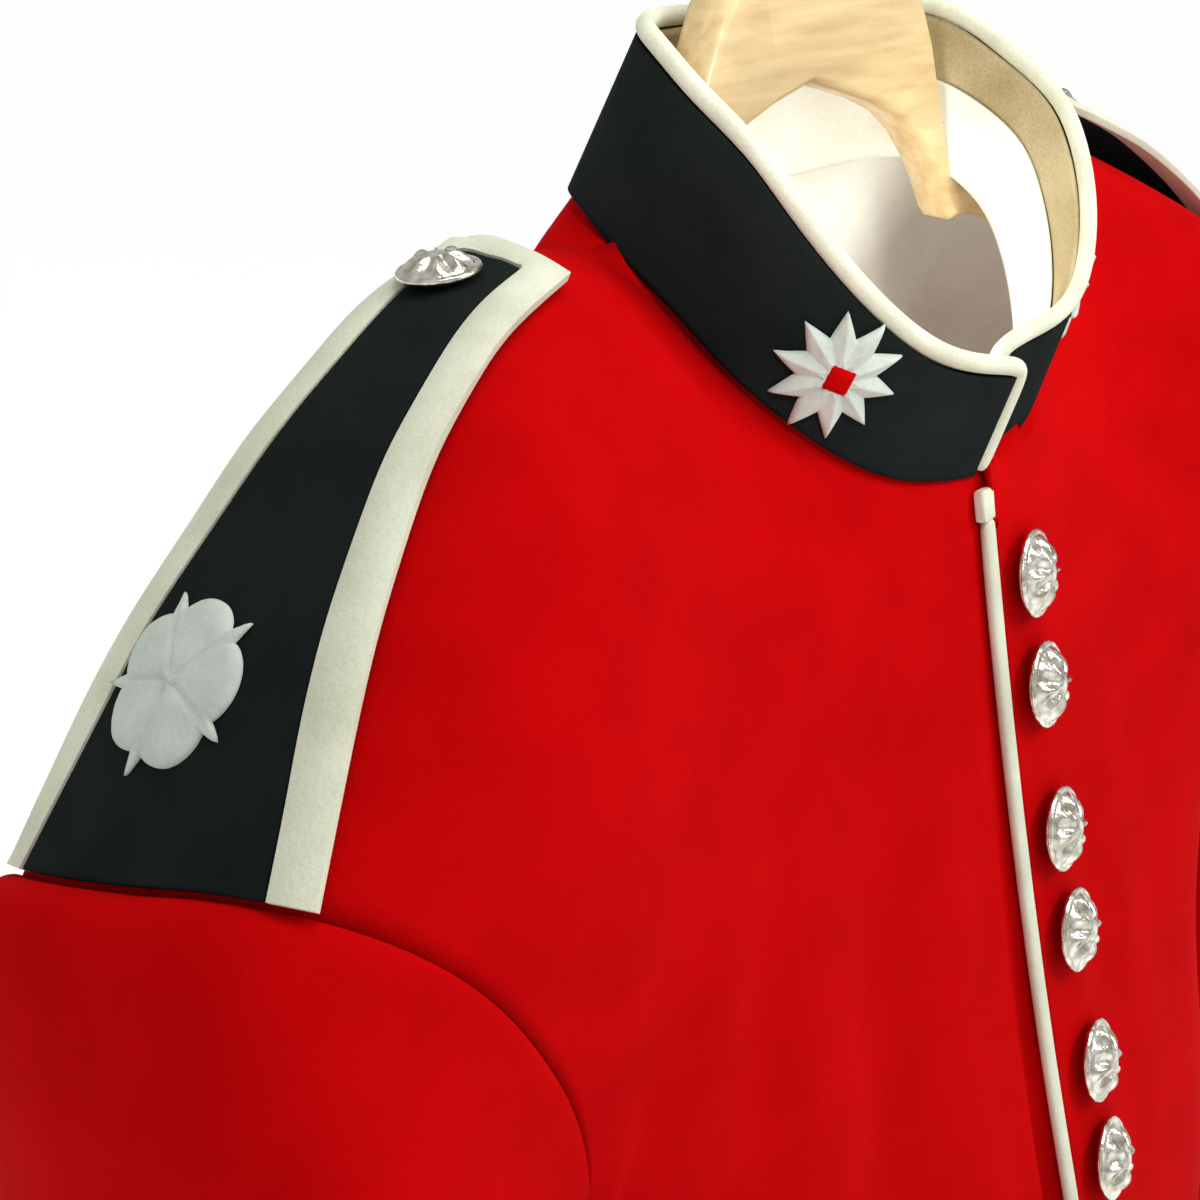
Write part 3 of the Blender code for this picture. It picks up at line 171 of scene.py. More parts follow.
def finished(shape, name, material, thickness=0.0):
    """A piece with its material, smooth shading and, for cloth, its thickness."""
    for face in shape.faces:
        face.smooth = True
    piece = to_object(shape, name)
    piece.data.materials.append(material)
    if thickness:
        wall = piece.modifiers.new("Cloth", "SOLIDIFY")
        wall.thickness = thickness
        wall.offset = -1.0
    return piece


def part_of_tunic(piece, slot, *nodes):
    """The piece rides on the one body and stands for its nodes."""
    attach(piece, "root")
    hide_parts(*nodes)


def from_body_axis(place):
    """The level way out from the upright line through the body."""
    return Vector((place.x, (place.y - BODY_AXIS_BACK) * BODY_FLATNESS, 0.0)).normalized()


def noise_bump(tree, shader, layers):
    """Bumps the surface with noises, each of a scale, detail, strength and height."""
    nodes, links = tree.nodes, tree.links
    where = nodes.new("ShaderNodeTexCoord")
    previous = None
    for scale, detail, strength, height in layers:
        noise = nodes.new("ShaderNodeTexNoise")
        noise.inputs["Scale"].default_value = scale
        noise.inputs["Detail"].default_value = detail
        links.new(where.outputs["Object"], noise.inputs["Vector"])
        bump = nodes.new("ShaderNodeBump")
        bump.inputs["Strength"].default_value = strength
        bump.inputs["Distance"].default_value = height
        links.new(noise.outputs["Fac"], bump.inputs["Height"])
        if previous:
            links.new(previous.outputs["Normal"], bump.inputs["Normal"])
        previous = bump
    links.new(previous.outputs["Normal"], shader.inputs["Normal"])


def cloth_material(name, dark, light, patch_scale, sheen, rough, layers):
    """Cloth whose colour wanders between two shades, with its nap as fine bumps."""
    material = bpy.data.materials.new(name)
    material.use_nodes = True
    tree = material.node_tree
    shader = tree.nodes["Principled BSDF"]
    shader.inputs["Roughness"].default_value = rough
    shader.inputs["Specular IOR Level"].default_value = 0.02
    shader.inputs["Sheen Weight"].default_value = sheen
    shader.inputs["Sheen Roughness"].default_value = 0.45
    shader.inputs["Sheen Tint"].default_value = (*light, 1.0)
    where = tree.nodes.new("ShaderNodeTexCoord")
    broad = tree.nodes.new("ShaderNodeTexNoise")
    broad.inputs["Scale"].default_value = patch_scale
    broad.inputs["Detail"].default_value = 3.0
    fine = tree.nodes.new("ShaderNodeTexNoise")
    fine.inputs["Scale"].default_value = 1400.0
    fine.inputs["Detail"].default_value = 2.0
    both = tree.nodes.new("ShaderNodeMath")
    both.operation = "MULTIPLY_ADD"
    both.inputs[1].default_value = 0.45
    ramp = tree.nodes.new("ShaderNodeValToRGB")
    ramp.color_ramp.elements[0].position = 0.50
    ramp.color_ramp.elements[0].color = (*dark, 1.0)
    ramp.color_ramp.elements[1].position = 0.92
    ramp.color_ramp.elements[1].color = (*light, 1.0)
    tree.links.new(where.outputs["Object"], broad.inputs["Vector"])
    tree.links.new(where.outputs["Object"], fine.inputs["Vector"])
    tree.links.new(fine.outputs["Fac"], both.inputs[0])
    tree.links.new(broad.outputs["Fac"], both.inputs[2])
    tree.links.new(both.outputs["Value"], ramp.inputs["Fac"])
    tree.links.new(ramp.outputs["Color"], shader.inputs["Base Color"])
    noise_bump(tree, shader, layers)
    return material


scarlet_wool = cloth_material(
    "scarlet wool", (0.45, 0.0009, 0.0015), (0.53, 0.0014, 0.0022), 40.0, 0.0, 0.95,
    ((900.0, 3.0, 0.30, 0.0004), (2600.0, 2.0, 0.35, 0.0002)))
WOOL_THICKNESS = 0.0022

# Each soft crease: where it starts and ends in millimetres, its half width and its
# depth out of the cloth (a trough is less than nought)
FRONT_CREASES = (
    (-7.0, -36, -9.5, -900, 4.0, -5.0),
    (-60, -50, -98, -350, 15, -3.4),
    (-34, -80, -46, -290, 12, 1.8),
    (-104, -74, -152, -250, 13, -3.0),
    (-132, -96, -168, -200, 12, 1.7),
    (-78, -220, -96, -480, 16, -2.8),
    (34, -96, 50, -320, 14, -2.2),
    (70, -60, 96, -290, 17, -1.1),
    (112, -80, 154, -210, 15, 1.2),
    (140, -100, 172, -190, 12, -1.2),
    (92, -260, 110, -500, 18, 1.1),
    (-20, -330, -24, -640, 16, -0.9),
    (36, -360, 44, -700, 18, 1.0),
    (-120, -420, -150, -900, 22, 1.8),
    (118, -430, 150, -900, 22, -1.8),
    (-70, -560, -84, -900, 18, 1.4),
    (84, -580, 98, -900, 18, 1.5),
)
BACK_CREASES = (
    (-84, -50, -150, -200, 17, -1.4),
    (84, -50, 150, -200, 17, -1.4),
    (-110, -70, -166, -160, 13, 1.2),
    (112, -72, 168, -164, 13, 1.1),
    (-40, -60, -50, -380, 18, 1.0),
    (34, -64, 40, -400, 18, -1.1),
    (-90, -240, -100, -520, 18, -1.2),
    (92, -250, 106, -520, 18, 1.3),
    (-20, -430, -26, -900, 17, -1.5),
    (52, -470, 62, -900, 17, 1.4),
    (-84, -500, -96, -900, 18, 1.5),
    (120, -480, 140, -900, 20, 1.6),
)


# How much a crease wanders, where along it it is full and starts to fade, and the
# height below which it runs on to the hem
CREASE_WANDER = 0.16
CREASE_BENDS = 7.0
CREASE_FULL = 0.35
CREASE_FADES = 0.6
RUNS_TO_HEM = -800


def crease_push(creases, place):
    """How far the creases move the cloth out at a place, in metres."""
    x, z = place.x / MM, place.z / MM + HOOK_RISE
    push = 0.0
    for top_x, top, bottom_x, bottom, width, depth in creases:
        share = (top - z) / (top - bottom)
        if 0.0 < share < 1.0:
            wander = CREASE_WANDER * width * math.sin(share * CREASE_BENDS + top_x)
            middle = top_x + (bottom_x - top_x) * share + wander
            end = 1.0 if bottom < RUNS_TO_HEM else ease(1.0, CREASE_FADES, share)
            across = math.exp(-((x - middle) / width) ** 2)
            push += depth * ease(0.0, CREASE_FULL, share) * end * across
    return push * MM


def crease_skin(shape, creases, way=1.0):
    """Moves the skin out and in along its own normals."""
    shape.normal_update()
    moves = [(vert, vert.normal * crease_push(creases, vert.co) * way) for vert in shape.verts]
    for vert, move in moves:
        vert.co += move


NECK_BACK = -0.024
NECK_REACH = 0.088
NECK_FOOT = -0.250
ACROSS_NECK = 0.6


def from_neck(place):
    """The level way out from the middle of the neck."""
    return Vector((place.x, place.y - NECK_BACK, 0.0)).normalized()


def surface_tree(node):
    """The node's surface, ready to be met by rays."""
    shape = merged_copy(node)
    tree = BVHTree.FromBMesh(shape)
    shape.free()
    return tree


# The turned-up edge stays this far inside the collar, which rays meet from outside
UNDER_COLLAR = 0.0013
OUTSIDE_COLLAR = 0.14
collar_trees = [surface_tree("collar_left"), surface_tree("collar_right")]


def turn_up_neck(shape, steps):
    """Turns the cloth's neck edge in and up inside the collar, as its seam allowance is."""
    neck_edges = []
    for edge in shape.edges:
        if edge.is_boundary:
            middle = (edge.verts[0].co + edge.verts[1].co) / 2
            reach = math.hypot(middle.x, middle.y - NECK_BACK)
            run = (edge.verts[1].co - edge.verts[0].co).normalized()
            along = abs(run.dot(from_neck(middle)))
            if reach < NECK_REACH and middle.z > NECK_FOOT and along < ACROSS_NECK:
                neck_edges.append(edge)
    for vert in carry_edges(shape, neck_edges, steps):
        away = from_neck(vert.co)
        axis = Vector((0.0, NECK_BACK, vert.co.z))
        for tree in collar_trees:
            hit = tree.ray_cast(axis + away * OUTSIDE_COLLAR, -away)[0]
            if hit:
                reach = min((vert.co - axis).length, (hit - axis).length - UNDER_COLLAR)
                vert.co = axis + away * reach


def carry_edges(shape, edges, steps):
    """Carries open edges on in steps, each so far towards the neck and so far down."""
    carried = []
    for inward, down in steps:
        made = bmesh.ops.extrude_edge_only(shape, edges=edges)
        fresh = set(part for part in made["geom"] if isinstance(part, bmesh.types.BMVert))
        for vert in fresh:
            vert.co -= from_neck(vert.co) * inward
            vert.co.z -= down
        edges = [part for part in made["geom"] if isinstance(part, bmesh.types.BMEdge)
                 and part.verts[0] in fresh and part.verts[1] in fresh]
        carried += fresh
    return carried


NECK_TURN = ((0.0008, -0.0012), (0.0002, -0.0050))
ARMHOLE_OUT = 0.13
ARMHOLE_FOOT = -0.46
armhole_edge = []


def note_armhole(shape):
    """Keeps the stretches of the panel's edge that a sleeve is sewn to."""
    for edge in shape.edges:
        a, b = edge.verts[0].co, edge.verts[1].co
        out = min(abs(a.x), abs(b.x))
        if edge.is_boundary and out > ARMHOLE_OUT and min(a.z, b.z) > ARMHOLE_FOOT:
            armhole_edge.append((a.copy(), b.copy()))


NEAR_ARMHOLE = 0.12
BELOW_ARMHOLE = -0.48
STRAP_END = -0.266
CLEAR_OF_STRAP = -0.300


def sink_armhole(shape, depth, reach):
    """Sinks the cloth softly towards the armhole seam."""
    shape.normal_update()
    moves = []
    for vert in shape.verts:
        if abs(vert.co.x) > NEAR_ARMHOLE and vert.co.z > BELOW_ARMHOLE:
            gap = min((vert.co - nearest_on(vert.co, a, b)).length for a, b in armhole_edge)
            below_strap = ease(STRAP_END, CLEAR_OF_STRAP, vert.co.z)
            moves.append((vert, vert.normal * depth * below_strap * math.exp(-(gap / reach) ** 2)))
    for vert, move in moves:
        vert.co -= move


def nearest_on(place, a, b):
    """The place on the line from a to b that is nearest."""
    run = b - a
    share = min(max((place - a).dot(run) / max(run.length_squared, 1e-12), 0.0), 1.0)
    return a + run * share


def edge_runs(shape):
    """The four edges of an open grid, each as its points from corner to corner."""
    edges = [edge for edge in shape.edges if edge.is_boundary]
    corners = [vert for vert in shape.verts if vert.is_boundary and len(vert.link_faces) == 1]
    used = set()
    runs = []
    for corner in corners:
        for first in corner.link_edges:
            if not first.is_boundary or first.index in used:
                continue
            run = [corner]
            edge = first
            while True:
                used.add(edge.index)
                run.append(edge.other_vert(run[-1]))
                if run[-1] in corners:
                    break
                edge = [e for e in run[-1].link_edges if e.is_boundary and e.index not in used][0]
            runs.append(run)
    return runs


SHOULDER_INNER = 0.06
SHOULDER_OUTER = 0.245
SHOULDER_FRONT = -0.050
SHOULDER_FOOT = -0.262


def shoulder_edges(shape):
    """The panel's open edges along its shoulder seams."""
    found = []
    for edge in shape.edges:
        middle = (edge.verts[0].co + edge.verts[1].co) / 2
        run = (edge.verts[1].co - edge.verts[0].co).normalized()
        along = abs(run.dot(from_neck(middle)))
        if (edge.is_boundary and SHOULDER_INNER < abs(middle.x) < SHOULDER_OUTER
                and middle.y > SHOULDER_FRONT and middle.z > SHOULDER_FOOT and along >= ACROSS_NECK):
            found.append(edge)
    return found


BACK_EDGE_FOOT = -0.30
SEAM_LAP = 0.0010


def meet_back(front, back):
    """Carries the front's shoulder edge on to the back's, as the seam does."""
    back_edges = [(edge.verts[0].co.copy(), edge.verts[1].co.copy()) for edge in back.edges
                  if edge.is_boundary and edge.verts[0].co.z > BACK_EDGE_FOOT]
    made = bmesh.ops.extrude_edge_only(front, edges=shoulder_edges(front))
    for vert in made["geom"]:
        if isinstance(vert, bmesh.types.BMVert):
            near = min((nearest_on(vert.co, a, b) for a, b in back_edges),
                       key=lambda place: (place - vert.co).length_squared)
            gap = near - vert.co
            vert.co += gap * (1.0 + SEAM_LAP / max(gap.length, SEAM_LAP))


SHOULDER_SLOPE = 0.0045
# Where the slope starts and where it is full: out from the middle, back from the seam,
# in from the far side and up from below
SLOPE_OUT = (0.125, 0.160)
SLOPE_BACK = (0.001, 0.013)
SLOPE_ENDS = (0.060, 0.030)
SLOPE_UP = (-0.33, -0.27)


def slope_behind_strap(shape):
    """Lets the back fall away a little behind the shoulder straps."""
    for vert in shape.verts:
        x, y, z = vert.co
        share = ease(*SLOPE_OUT, abs(x)) * ease(*SLOPE_BACK, y) * ease(*SLOPE_ENDS, y)
        vert.co.z -= SHOULDER_SLOPE * share * ease(*SLOPE_UP, z)


BODY_PANELS = (
    ("front_left", FRONT_CREASES, (0.30, 0.86), 0.192),
    ("front_right", FRONT_CREASES, (0.31, 0.86), 0.214),
    ("back", BACK_CREASES, (0.52, 0.84), 0.395),
)
ARMHOLE_SINK = 0.0005
ARMHOLE_SOFT = 0.006
body_cloths = []
for node, creases, flat, area in BODY_PANELS:
    cloth = rounded(outer_skin(node, from_body_axis), 3)
    crease_skin(cloth, creases)
    if node == "back":
        slope_behind_strap(cloth)
    note_armhole(cloth)
    body_cloths.append((node, cloth, flat, area))
meet_back(body_cloths[0][1], body_cloths[2][1])
meet_back(body_cloths[1][1], body_cloths[2][1])
for node, cloth, flat, area in body_cloths:
    sink_armhole(cloth, ARMHOLE_SINK, ARMHOLE_SOFT)
    turn_up_neck(cloth, NECK_TURN)
    panel = finished(cloth, node + "_cloth", scarlet_wool, WOOL_THICKNESS)
    part_of_tunic(panel, "scarlet_wool", node)

# Sleeves
# Each sleeve is cut in two pieces of the same wool, top and under, and is set into
# the armhole with a little fullness. It hangs empty, with drag folds at the head.
SLEEVE_AXIS_OUT = 0.236
SLEEVE_AXIS_BACK = -0.045


def from_sleeve_axis(place):
    """The level way out from the upright line through a sleeve."""
    side = math.copysign(1.0, place.x)
    return Vector((place.x - side * SLEEVE_AXIS_OUT, place.y - SLEEVE_AXIS_BACK, 0.0)).normalized()


# Each crease runs round the sleeve: turn at its start, height there, turn at its
# end, height there, half width in degrees and depth out in millimetres
SLEEVE_CREASES = (
    (-60, -150, -20, -330, 11, -1.6),
    (-95, -170, -60, -330, 10, 1.4),
    (30, -120, 50, -300, 12, -1.2),
    (70, -150, 100, -360, 12, 1.3),
    (140, -190, 120, -420, 14, -1.5),
    (-150, -200, -120, -420, 14, 1.3),
    (-40, -380, -10, -600, 13, 1.2),
    (20, -420, 60, -640, 13, -1.3),
    (-110, -430, -80, -700, 15, -1.3),
    (100, -460, 130, -700, 14, 1.1),
)


SLEEVE_CREASE_FULL = 0.3
SLEEVE_CREASE_FADES = 0.7


def sleeve_push(place):
    """How far the creases move a sleeve's cloth out, in metres."""
    side = math.copysign(1.0, place.x)
    turn = math.degrees(math.atan2(SLEEVE_AXIS_BACK - place.y, place.x * side - SLEEVE_AXIS_OUT))
    z = place.z / MM + HOOK_RISE
    push = 0.0
    for start, top, end, bottom, width, depth in SLEEVE_CREASES:
        share = (top - z) / (top - bottom)
        if 0.0 < share < 1.0:
            off = (turn - start - (end - start) * share + 180.0) % 360.0 - 180.0
            ends = ease(0.0, SLEEVE_CREASE_FULL, share) * ease(1.0, SLEEVE_CREASE_FADES, share)
            push += depth * ends * math.exp(-(off / width) ** 2)
    return push * MM


def nearest_edge_place(place):
    """The place on the armhole's edge that is nearest."""
    return min((nearest_on(place, a, b) for a, b in armhole_edge), key=lambda near: (near - place).length)


HEAD_FOOT = -0.45
HEAD_SOFT = 0.008


def sew_to_armhole(shape):
    """Draws the sleeve's head to the armhole's edge, less and less further down."""
    shape.edges.index_update()
    runs = edge_runs(shape)

    def away(run):
        few = run[::4]
        return sum((vert.co - nearest_edge_place(vert.co)).length for vert in few) / len(few)

    head = min(runs, key=away)
    pulls = [(vert, nearest_edge_place(vert.co) - vert.co) for vert in head]
    starts = [(vert.co.copy(), pull) for vert, pull in pulls]
    head_points = set(vert.index for vert in head)
    for vert in shape.verts:
        if vert.index in head_points or vert.co.z < HEAD_FOOT:
            continue
        start, pull = min(starts, key=lambda one: (one[0] - vert.co).length_squared)
        vert.co += pull * math.exp(-((start - vert.co).length / HEAD_SOFT) ** 2)
    for vert, pull in pulls:
        vert.co += pull


for side in ("left", "right"):
    for part, flat, area in (("top", (0.24, 0.68), 0.1085), ("under", (0.16, 0.62), 0.067)):
        node = "sleeve_%s_%s" % (side, part)
        cloth = rounded(outer_skin(node, from_sleeve_axis), 2)
        cloth.normal_update()
        moves = [(vert, vert.normal * sleeve_push(vert.co)) for vert in cloth.verts]
        for vert, move in moves:
            vert.co += move
        sew_to_armhole(cloth)
        sink_armhole(cloth, ARMHOLE_SINK, ARMHOLE_SOFT)
        panel = finished(cloth, node + "_cloth", scarlet_wool, WOOL_THICKNESS)
        part_of_tunic(panel, "scarlet_wool", node)

# Lining
# Cream cotton lining, cut as the fronts and back are. It shows only through the
# neck, where it falls away from the collar in small loose creases.
cream_cotton = cloth_material(
    "cream cotton", (0.74, 0.73, 0.62), (0.88, 0.89, 0.80), 30.0, 0.05, 0.75,
    ((1500.0, 2.0, 0.25, 0.0002), (60.0, 3.0, 0.25, 0.002)))
LINING_THICKNESS = 0.0011
LINING_CREASES = (
    (-18, -20, -30, -200, 7, -0.5),
    (6, -10, 14, -190, 6, 2.0),
    (34, -16, 46, -210, 8, -0.6),
    (58, -24, 70, -160, 6, 2.2),
    (-52, -30, -66, -210, 8, 2.4),
    (-80, -30, -110, -160, 8, -0.5),
    (84, -30, 120, -170, 8, -0.5),
)


def to_body_axis(place):
    """The way in towards the upright line through the body."""
    return -from_body_axis(place)


LINING_PANELS = (
    ("lining_front_left", FRONT_CREASES, (0.22, 0.20), 0.0285),
    ("lining_front_right", FRONT_CREASES, (0.24, 0.20), 0.0305),
    ("lining_back", BACK_CREASES, (0.50, 0.20), 0.076),
)
LINING_TURN = ((0.0022, -0.0028), (0.0006, -0.0015))
lining_cloths = []
for node, creases, flat, area in LINING_PANELS:
    cloth = rounded(outer_skin(node, to_body_axis), 2)
    crease_skin(cloth, creases, -1.0)
    crease_skin(cloth, LINING_CREASES)
    if node == "lining_back":
        slope_behind_strap(cloth)
    lining_cloths.append((node, cloth, flat, area))
meet_back(lining_cloths[0][1], lining_cloths[2][1])
meet_back(lining_cloths[1][1], lining_cloths[2][1])
for node, cloth, flat, area in lining_cloths:
    turn_up_neck(cloth, LINING_TURN)
    panel = finished(cloth, node + "_cloth", cream_cotton, LINING_THICKNESS)
    part_of_tunic(panel, "cream_lining", node)

# Collar
# A stand collar in two halves of black wool over stiffening, faced inside with tan
# cotton and lined below. It's sewn round the neck and edged with white piping.
black_wool = cloth_material(
    "black wool", (0.0085, 0.0120, 0.0118), (0.0140, 0.0185, 0.0175), 40.0, 0.10, 0.85,
    ((1100.0, 3.0, 0.30, 0.0003), (2800.0, 2.0, 0.30, 0.0002)))
tan_cotton = cloth_material(
    "tan cotton", (0.34, 0.26, 0.13), (0.56, 0.47, 0.28), 34.0, 0.05, 0.8,
    ((1500.0, 2.0, 0.3, 0.0002), (90.0, 3.0, 0.2, 0.001)))
white_wool = cloth_material(
    "white wool", (0.60, 0.61, 0.46), (0.74, 0.76, 0.60), 60.0, 0.20, 0.85,
    ((700.0, 3.0, 0.45, 0.0004), (2400.0, 2.0, 0.4, 0.0002)))


def to_neck(place):
    """The level way in to the middle of the neck."""
    return -from_neck(place)


# The lining stands this far inside the seam, over this reach, and falls over it in steps
LINING_PROUD = 0.0028
PROUD_REACH = 0.013
LINING_FELL = ((0.0004, 0.0030), (-0.0006, 0.0035))
FACING_RISE = ((-0.0006, -0.0014),)


def run_length(run):
    """How long a run of points is."""
    return sum((b.co - a.co).length for a, b in zip(run, run[1:]))


def long_run(shape, pick):
    """The lower or upper long edge of a collar layer: its points and its edges."""
    shape.edges.index_update()
    runs = sorted(edge_runs(shape), key=run_length)[-2:]
    picked = pick(runs, key=lambda run: sum(vert.co.z for vert in run) / len(run))
    return picked, [edge for edge in shape.edges
                    if edge.is_boundary and edge.verts[0] in picked and edge.verts[1] in picked]


def fell_over_seam(shape):
    """Carries the collar's lining down over the neck seam and a little way out."""
    foot, edges = long_run(shape, min)
    places = [vert.co.copy() for vert in foot]
    for vert in shape.verts:
        gap = min((vert.co - place).length for place in places)
        vert.co -= from_neck(vert.co) * LINING_PROUD * ease(PROUD_REACH, 0.0, gap)
    carry_edges(shape, edges, LINING_FELL)
    bmesh.ops.recalc_face_normals(shape, faces=shape.faces)
    face = shape.faces[0]
    if face.normal.dot(from_neck(face.calc_center_median())) > 0:
        bmesh.ops.reverse_faces(shape, faces=shape.faces)


COLLAR_PARTS = (
    ("collar_", from_neck, black_wool, "black_wool", 0.0024, (0.215, 0.050), 0.0090),
    ("collar_facing_", to_neck, tan_cotton, "tan_facing", 0.0012, (0.205, 0.028), 0.0041),
    ("collar_lining_", to_neck, cream_cotton, "cream_lining", 0.0012, (0.205, 0.038), 0.0059),
)
for side in ("left", "right"):
    for start, facing, material, slot, thickness, flat, area in COLLAR_PARTS:
        node = start + side
        cloth = rounded(outer_skin(node, facing), 3)
        cloth.normal_update()
        if start == "collar_lining_":
            fell_over_seam(cloth)
        if start == "collar_facing_":
            carry_edges(cloth, long_run(cloth, max)[1], FACING_RISE)
        layer = finished(cloth, node + "_cloth", material, thickness)
        part_of_tunic(layer, slot, node)


def rounded_solid(node, edge_round, levels):
    """The node's closed shape with its sharp edges rounded and its faces smoothed."""
    shape = merged_copy(node)
    shape.faces.index_update()
    shape.edges.index_update()
    join_squares(shape)
    if edge_round:
        sharp = [edge for edge in shape.edges if edge.calc_face_angle(0.0) > SHARP]
        bmesh.ops.bevel(shape, geom=sharp, offset=edge_round, segments=2, profile=0.5,
                        affect="EDGES", material=-1, clamp_overlap=True)
    return rounded(shape, levels)


TAB_DROP = 0.0012
COLLAR_PIPING_FULLER = 0.0003


def trimming(node, edge_round, levels, fuller=0.0):
    """A sewn-on piping or edging in white wool, made a little fuller than its node's faces."""
    shape = rounded_solid(node, edge_round, levels)
    shape.normal_update()
    moves = [(vert, vert.normal * fuller) for vert in shape.verts]
    for vert, move in moves:
        vert.co += move
    if node.startswith("strap_"):
        strap_stand(shape)
    if node == "front_piping_tab":
        for vert in shape.verts:
            vert.co.z -= TAB_DROP
    piece = finished(shape, node + "_wool", white_wool)
    part_of_tunic(piece, "white_wool", node)


for side in ("left", "right"):
    trimming("collar_piping_" + side, 0.0, 2, COLLAR_PIPING_FULLER)

# Closure
# The left front's edge is piped in white down to the hem, its top end folded over in
# a small tab. Ten domed silver buttons stand in pairs along the right of it.
FRONT_PIPING_FULLER = 0.0005
TAB_ROUND = 0.0006
trimming("front_piping", 0.0, 2, FRONT_PIPING_FULLER)
trimming("front_piping_tab", TAB_ROUND, 1)

silver = bpy.data.materials.new("silver")
silver.use_nodes = True
silver_shader = silver.node_tree.nodes["Principled BSDF"]
silver_shader.inputs["Base Color"].default_value = (0.86, 0.85, 0.78, 1.0)
silver_shader.inputs["Metallic"].default_value = 1.0
silver_shader.inputs["Roughness"].default_value = 0.22
silver_place = silver.node_tree.nodes.new("ShaderNodeTexCoord")
# Painted reflection and shade: the silver's colour darkens to a light brown in small random cells
painted_reflection_cells = silver.node_tree.nodes.new("ShaderNodeTexVoronoi")
painted_reflection_cells.inputs["Scale"].default_value = 330.0
painted_reflection_ramp = silver.node_tree.nodes.new("ShaderNodeValToRGB")
painted_reflection_ramp.color_ramp.elements[0].position = 0.15
painted_reflection_ramp.color_ramp.elements[0].color = (0.95, 0.94, 0.86, 1.0)
painted_reflection_ramp.color_ramp.elements[1].position = 0.75
painted_reflection_ramp.color_ramp.elements[1].color = (0.50, 0.46, 0.36, 1.0)
silver.node_tree.links.new(silver_place.outputs["Object"], painted_reflection_cells.inputs["Vector"])
silver.node_tree.links.new(painted_reflection_cells.outputs["Distance"], painted_reflection_ramp.inputs["Fac"])
silver.node_tree.links.new(painted_reflection_ramp.outputs["Color"], silver_shader.inputs["Base Color"])
noise_bump(silver.node_tree, silver_shader, ((420.0, 2.0, 0.6, 0.0006),))

# Reach and rise of a button's face, as shares of its radius and its height
BUTTON_PROFILE = (
    (0.00, 0.96), (0.10, 0.96), (0.20, 0.93), (0.24, 0.88), (0.30, 0.87), (0.40, 0.83), (0.50, 0.76),
    (0.60, 0.68), (0.70, 0.58), (0.78, 0.48), (0.84, 0.37), (0.87, 0.32), (0.90, 0.33), (0.94, 0.33),
    (0.98, 0.29), (1.00, 0.21), (0.99, 0.12), (0.93, 0.03), (0.80, 0.00), (0.00, 0.00))
BUTTON_STEPS = 60
BUTTON_RAYS = 8
RAY_RISE = 0.17
RAYS_FROM = 0.24
RAYS_TO = 0.86
FACE_FROM = 0.3


def node_lay(node, outward):
    """Where a low round node lies: the middle of its foot, the way it faces and its reach."""
    shape = merged_copy(node)
    middle = sum((vert.co for vert in shape.verts), Vector()) / len(shape.verts)
    spread = Matrix(((0.0,) * 3,) * 3)
    for vert in shape.verts:
        off = vert.co - middle
        spread += Matrix([[off[i] * off[j] for j in range(3)] for i in range(3)])
    thinnest = Matrix.Identity(3) * (spread[0][0] + spread[1][1] + spread[2][2]) - spread
    facing = Vector(outward).normalized()
    for _ in range(60):
        facing = (thinnest @ facing).normalized()
    if facing.dot(Vector(outward)) < 0:
        facing = -facing
    heights = [(vert.co - middle).dot(facing) for vert in shape.verts]
    reaches = [((vert.co - middle) - facing * height).length for vert, height in zip(shape.verts, heights)]
    foot = middle + facing * min(heights)
    size = (max(reaches), max(heights) - min(heights))
    shape.free()
    return foot, facing, size


def turned(places, steps):
    """A round shape spun from a row of places, each with its reach and its rise."""
    shape = bmesh.new()
    last = None
    for reach, rise in places:
        vert = shape.verts.new((reach, 0.0, rise))
        if last:
            shape.edges.new((last, vert))
        last = vert
    bmesh.ops.spin(shape, geom=shape.verts[:] + shape.edges[:], cent=(0, 0, 0), axis=(0, 0, 1),
                   angle=math.tau, steps=steps, use_merge=True)
    bmesh.ops.remove_doubles(shape, verts=shape.verts, dist=0.00001)
    bmesh.ops.recalc_face_normals(shape, faces=shape.faces)
    return shape


def make_button(node, outward):
    """A silver button turned from its profile, with rays and a small boss struck in its face."""
    foot, facing, (radius, height) = node_lay(node, outward)
    shape = turned([(reach * radius, rise * height) for reach, rise in BUTTON_PROFILE], BUTTON_STEPS)
    for vert in shape.verts:
        reach = math.hypot(vert.co.x, vert.co.y) / radius
        if vert.co.z > FACE_FROM * height and RAYS_FROM < reach < RAYS_TO:
            turn = math.atan2(vert.co.y, vert.co.x)
            belt = math.sin(math.pi * (reach - RAYS_FROM) / (RAYS_TO - RAYS_FROM))
            vert.co.z += RAY_RISE * height * belt * (1.0 - 2.0 * abs(math.sin(turn * BUTTON_RAYS / 2)))
    turn = Vector((0, 0, 1)).rotation_difference(facing).to_matrix().to_4x4()
    bmesh.ops.transform(shape, matrix=Matrix.Translation(foot) @ turn, verts=shape.verts)
    if node.startswith("strap_"):
        strap_stand(shape)
    button = finished(shape, node + "_silver", silver)
    part_of_tunic(button, "silver", node)


for number in range(1, 11):
    make_button("button_%02d" % number, (0.0, -1.0, 0.3))

# Shoulder straps
# Each strap is black wool edged with a flat white braid, sewn into the sleeve head
# and buttoned down near the collar. The left one's neck end stands off the shoulder.
badge_white = cloth_material(
    "badge white", (0.50, 0.56, 0.49), (0.62, 0.68, 0.61), 120.0, 0.10, 0.75,
    ((2200.0, 2.0, 0.35, 0.0002),))


STRAP_STAND = 0.0085
STAND_FROM = 0.215
STAND_FULL = 0.150
STRAP_ROUND = 0.0006
EDGING_ROUND = 0.0009
STRAP_TILT = 0.25


def strap_stand(shape):
    """Stands the left strap's neck end off the shoulder, as a stiff strap does."""
    for vert in shape.verts:
        if vert.co.x > 0.0:
            vert.co.z += STRAP_STAND * ease(STAND_FROM, STAND_FULL, vert.co.x)


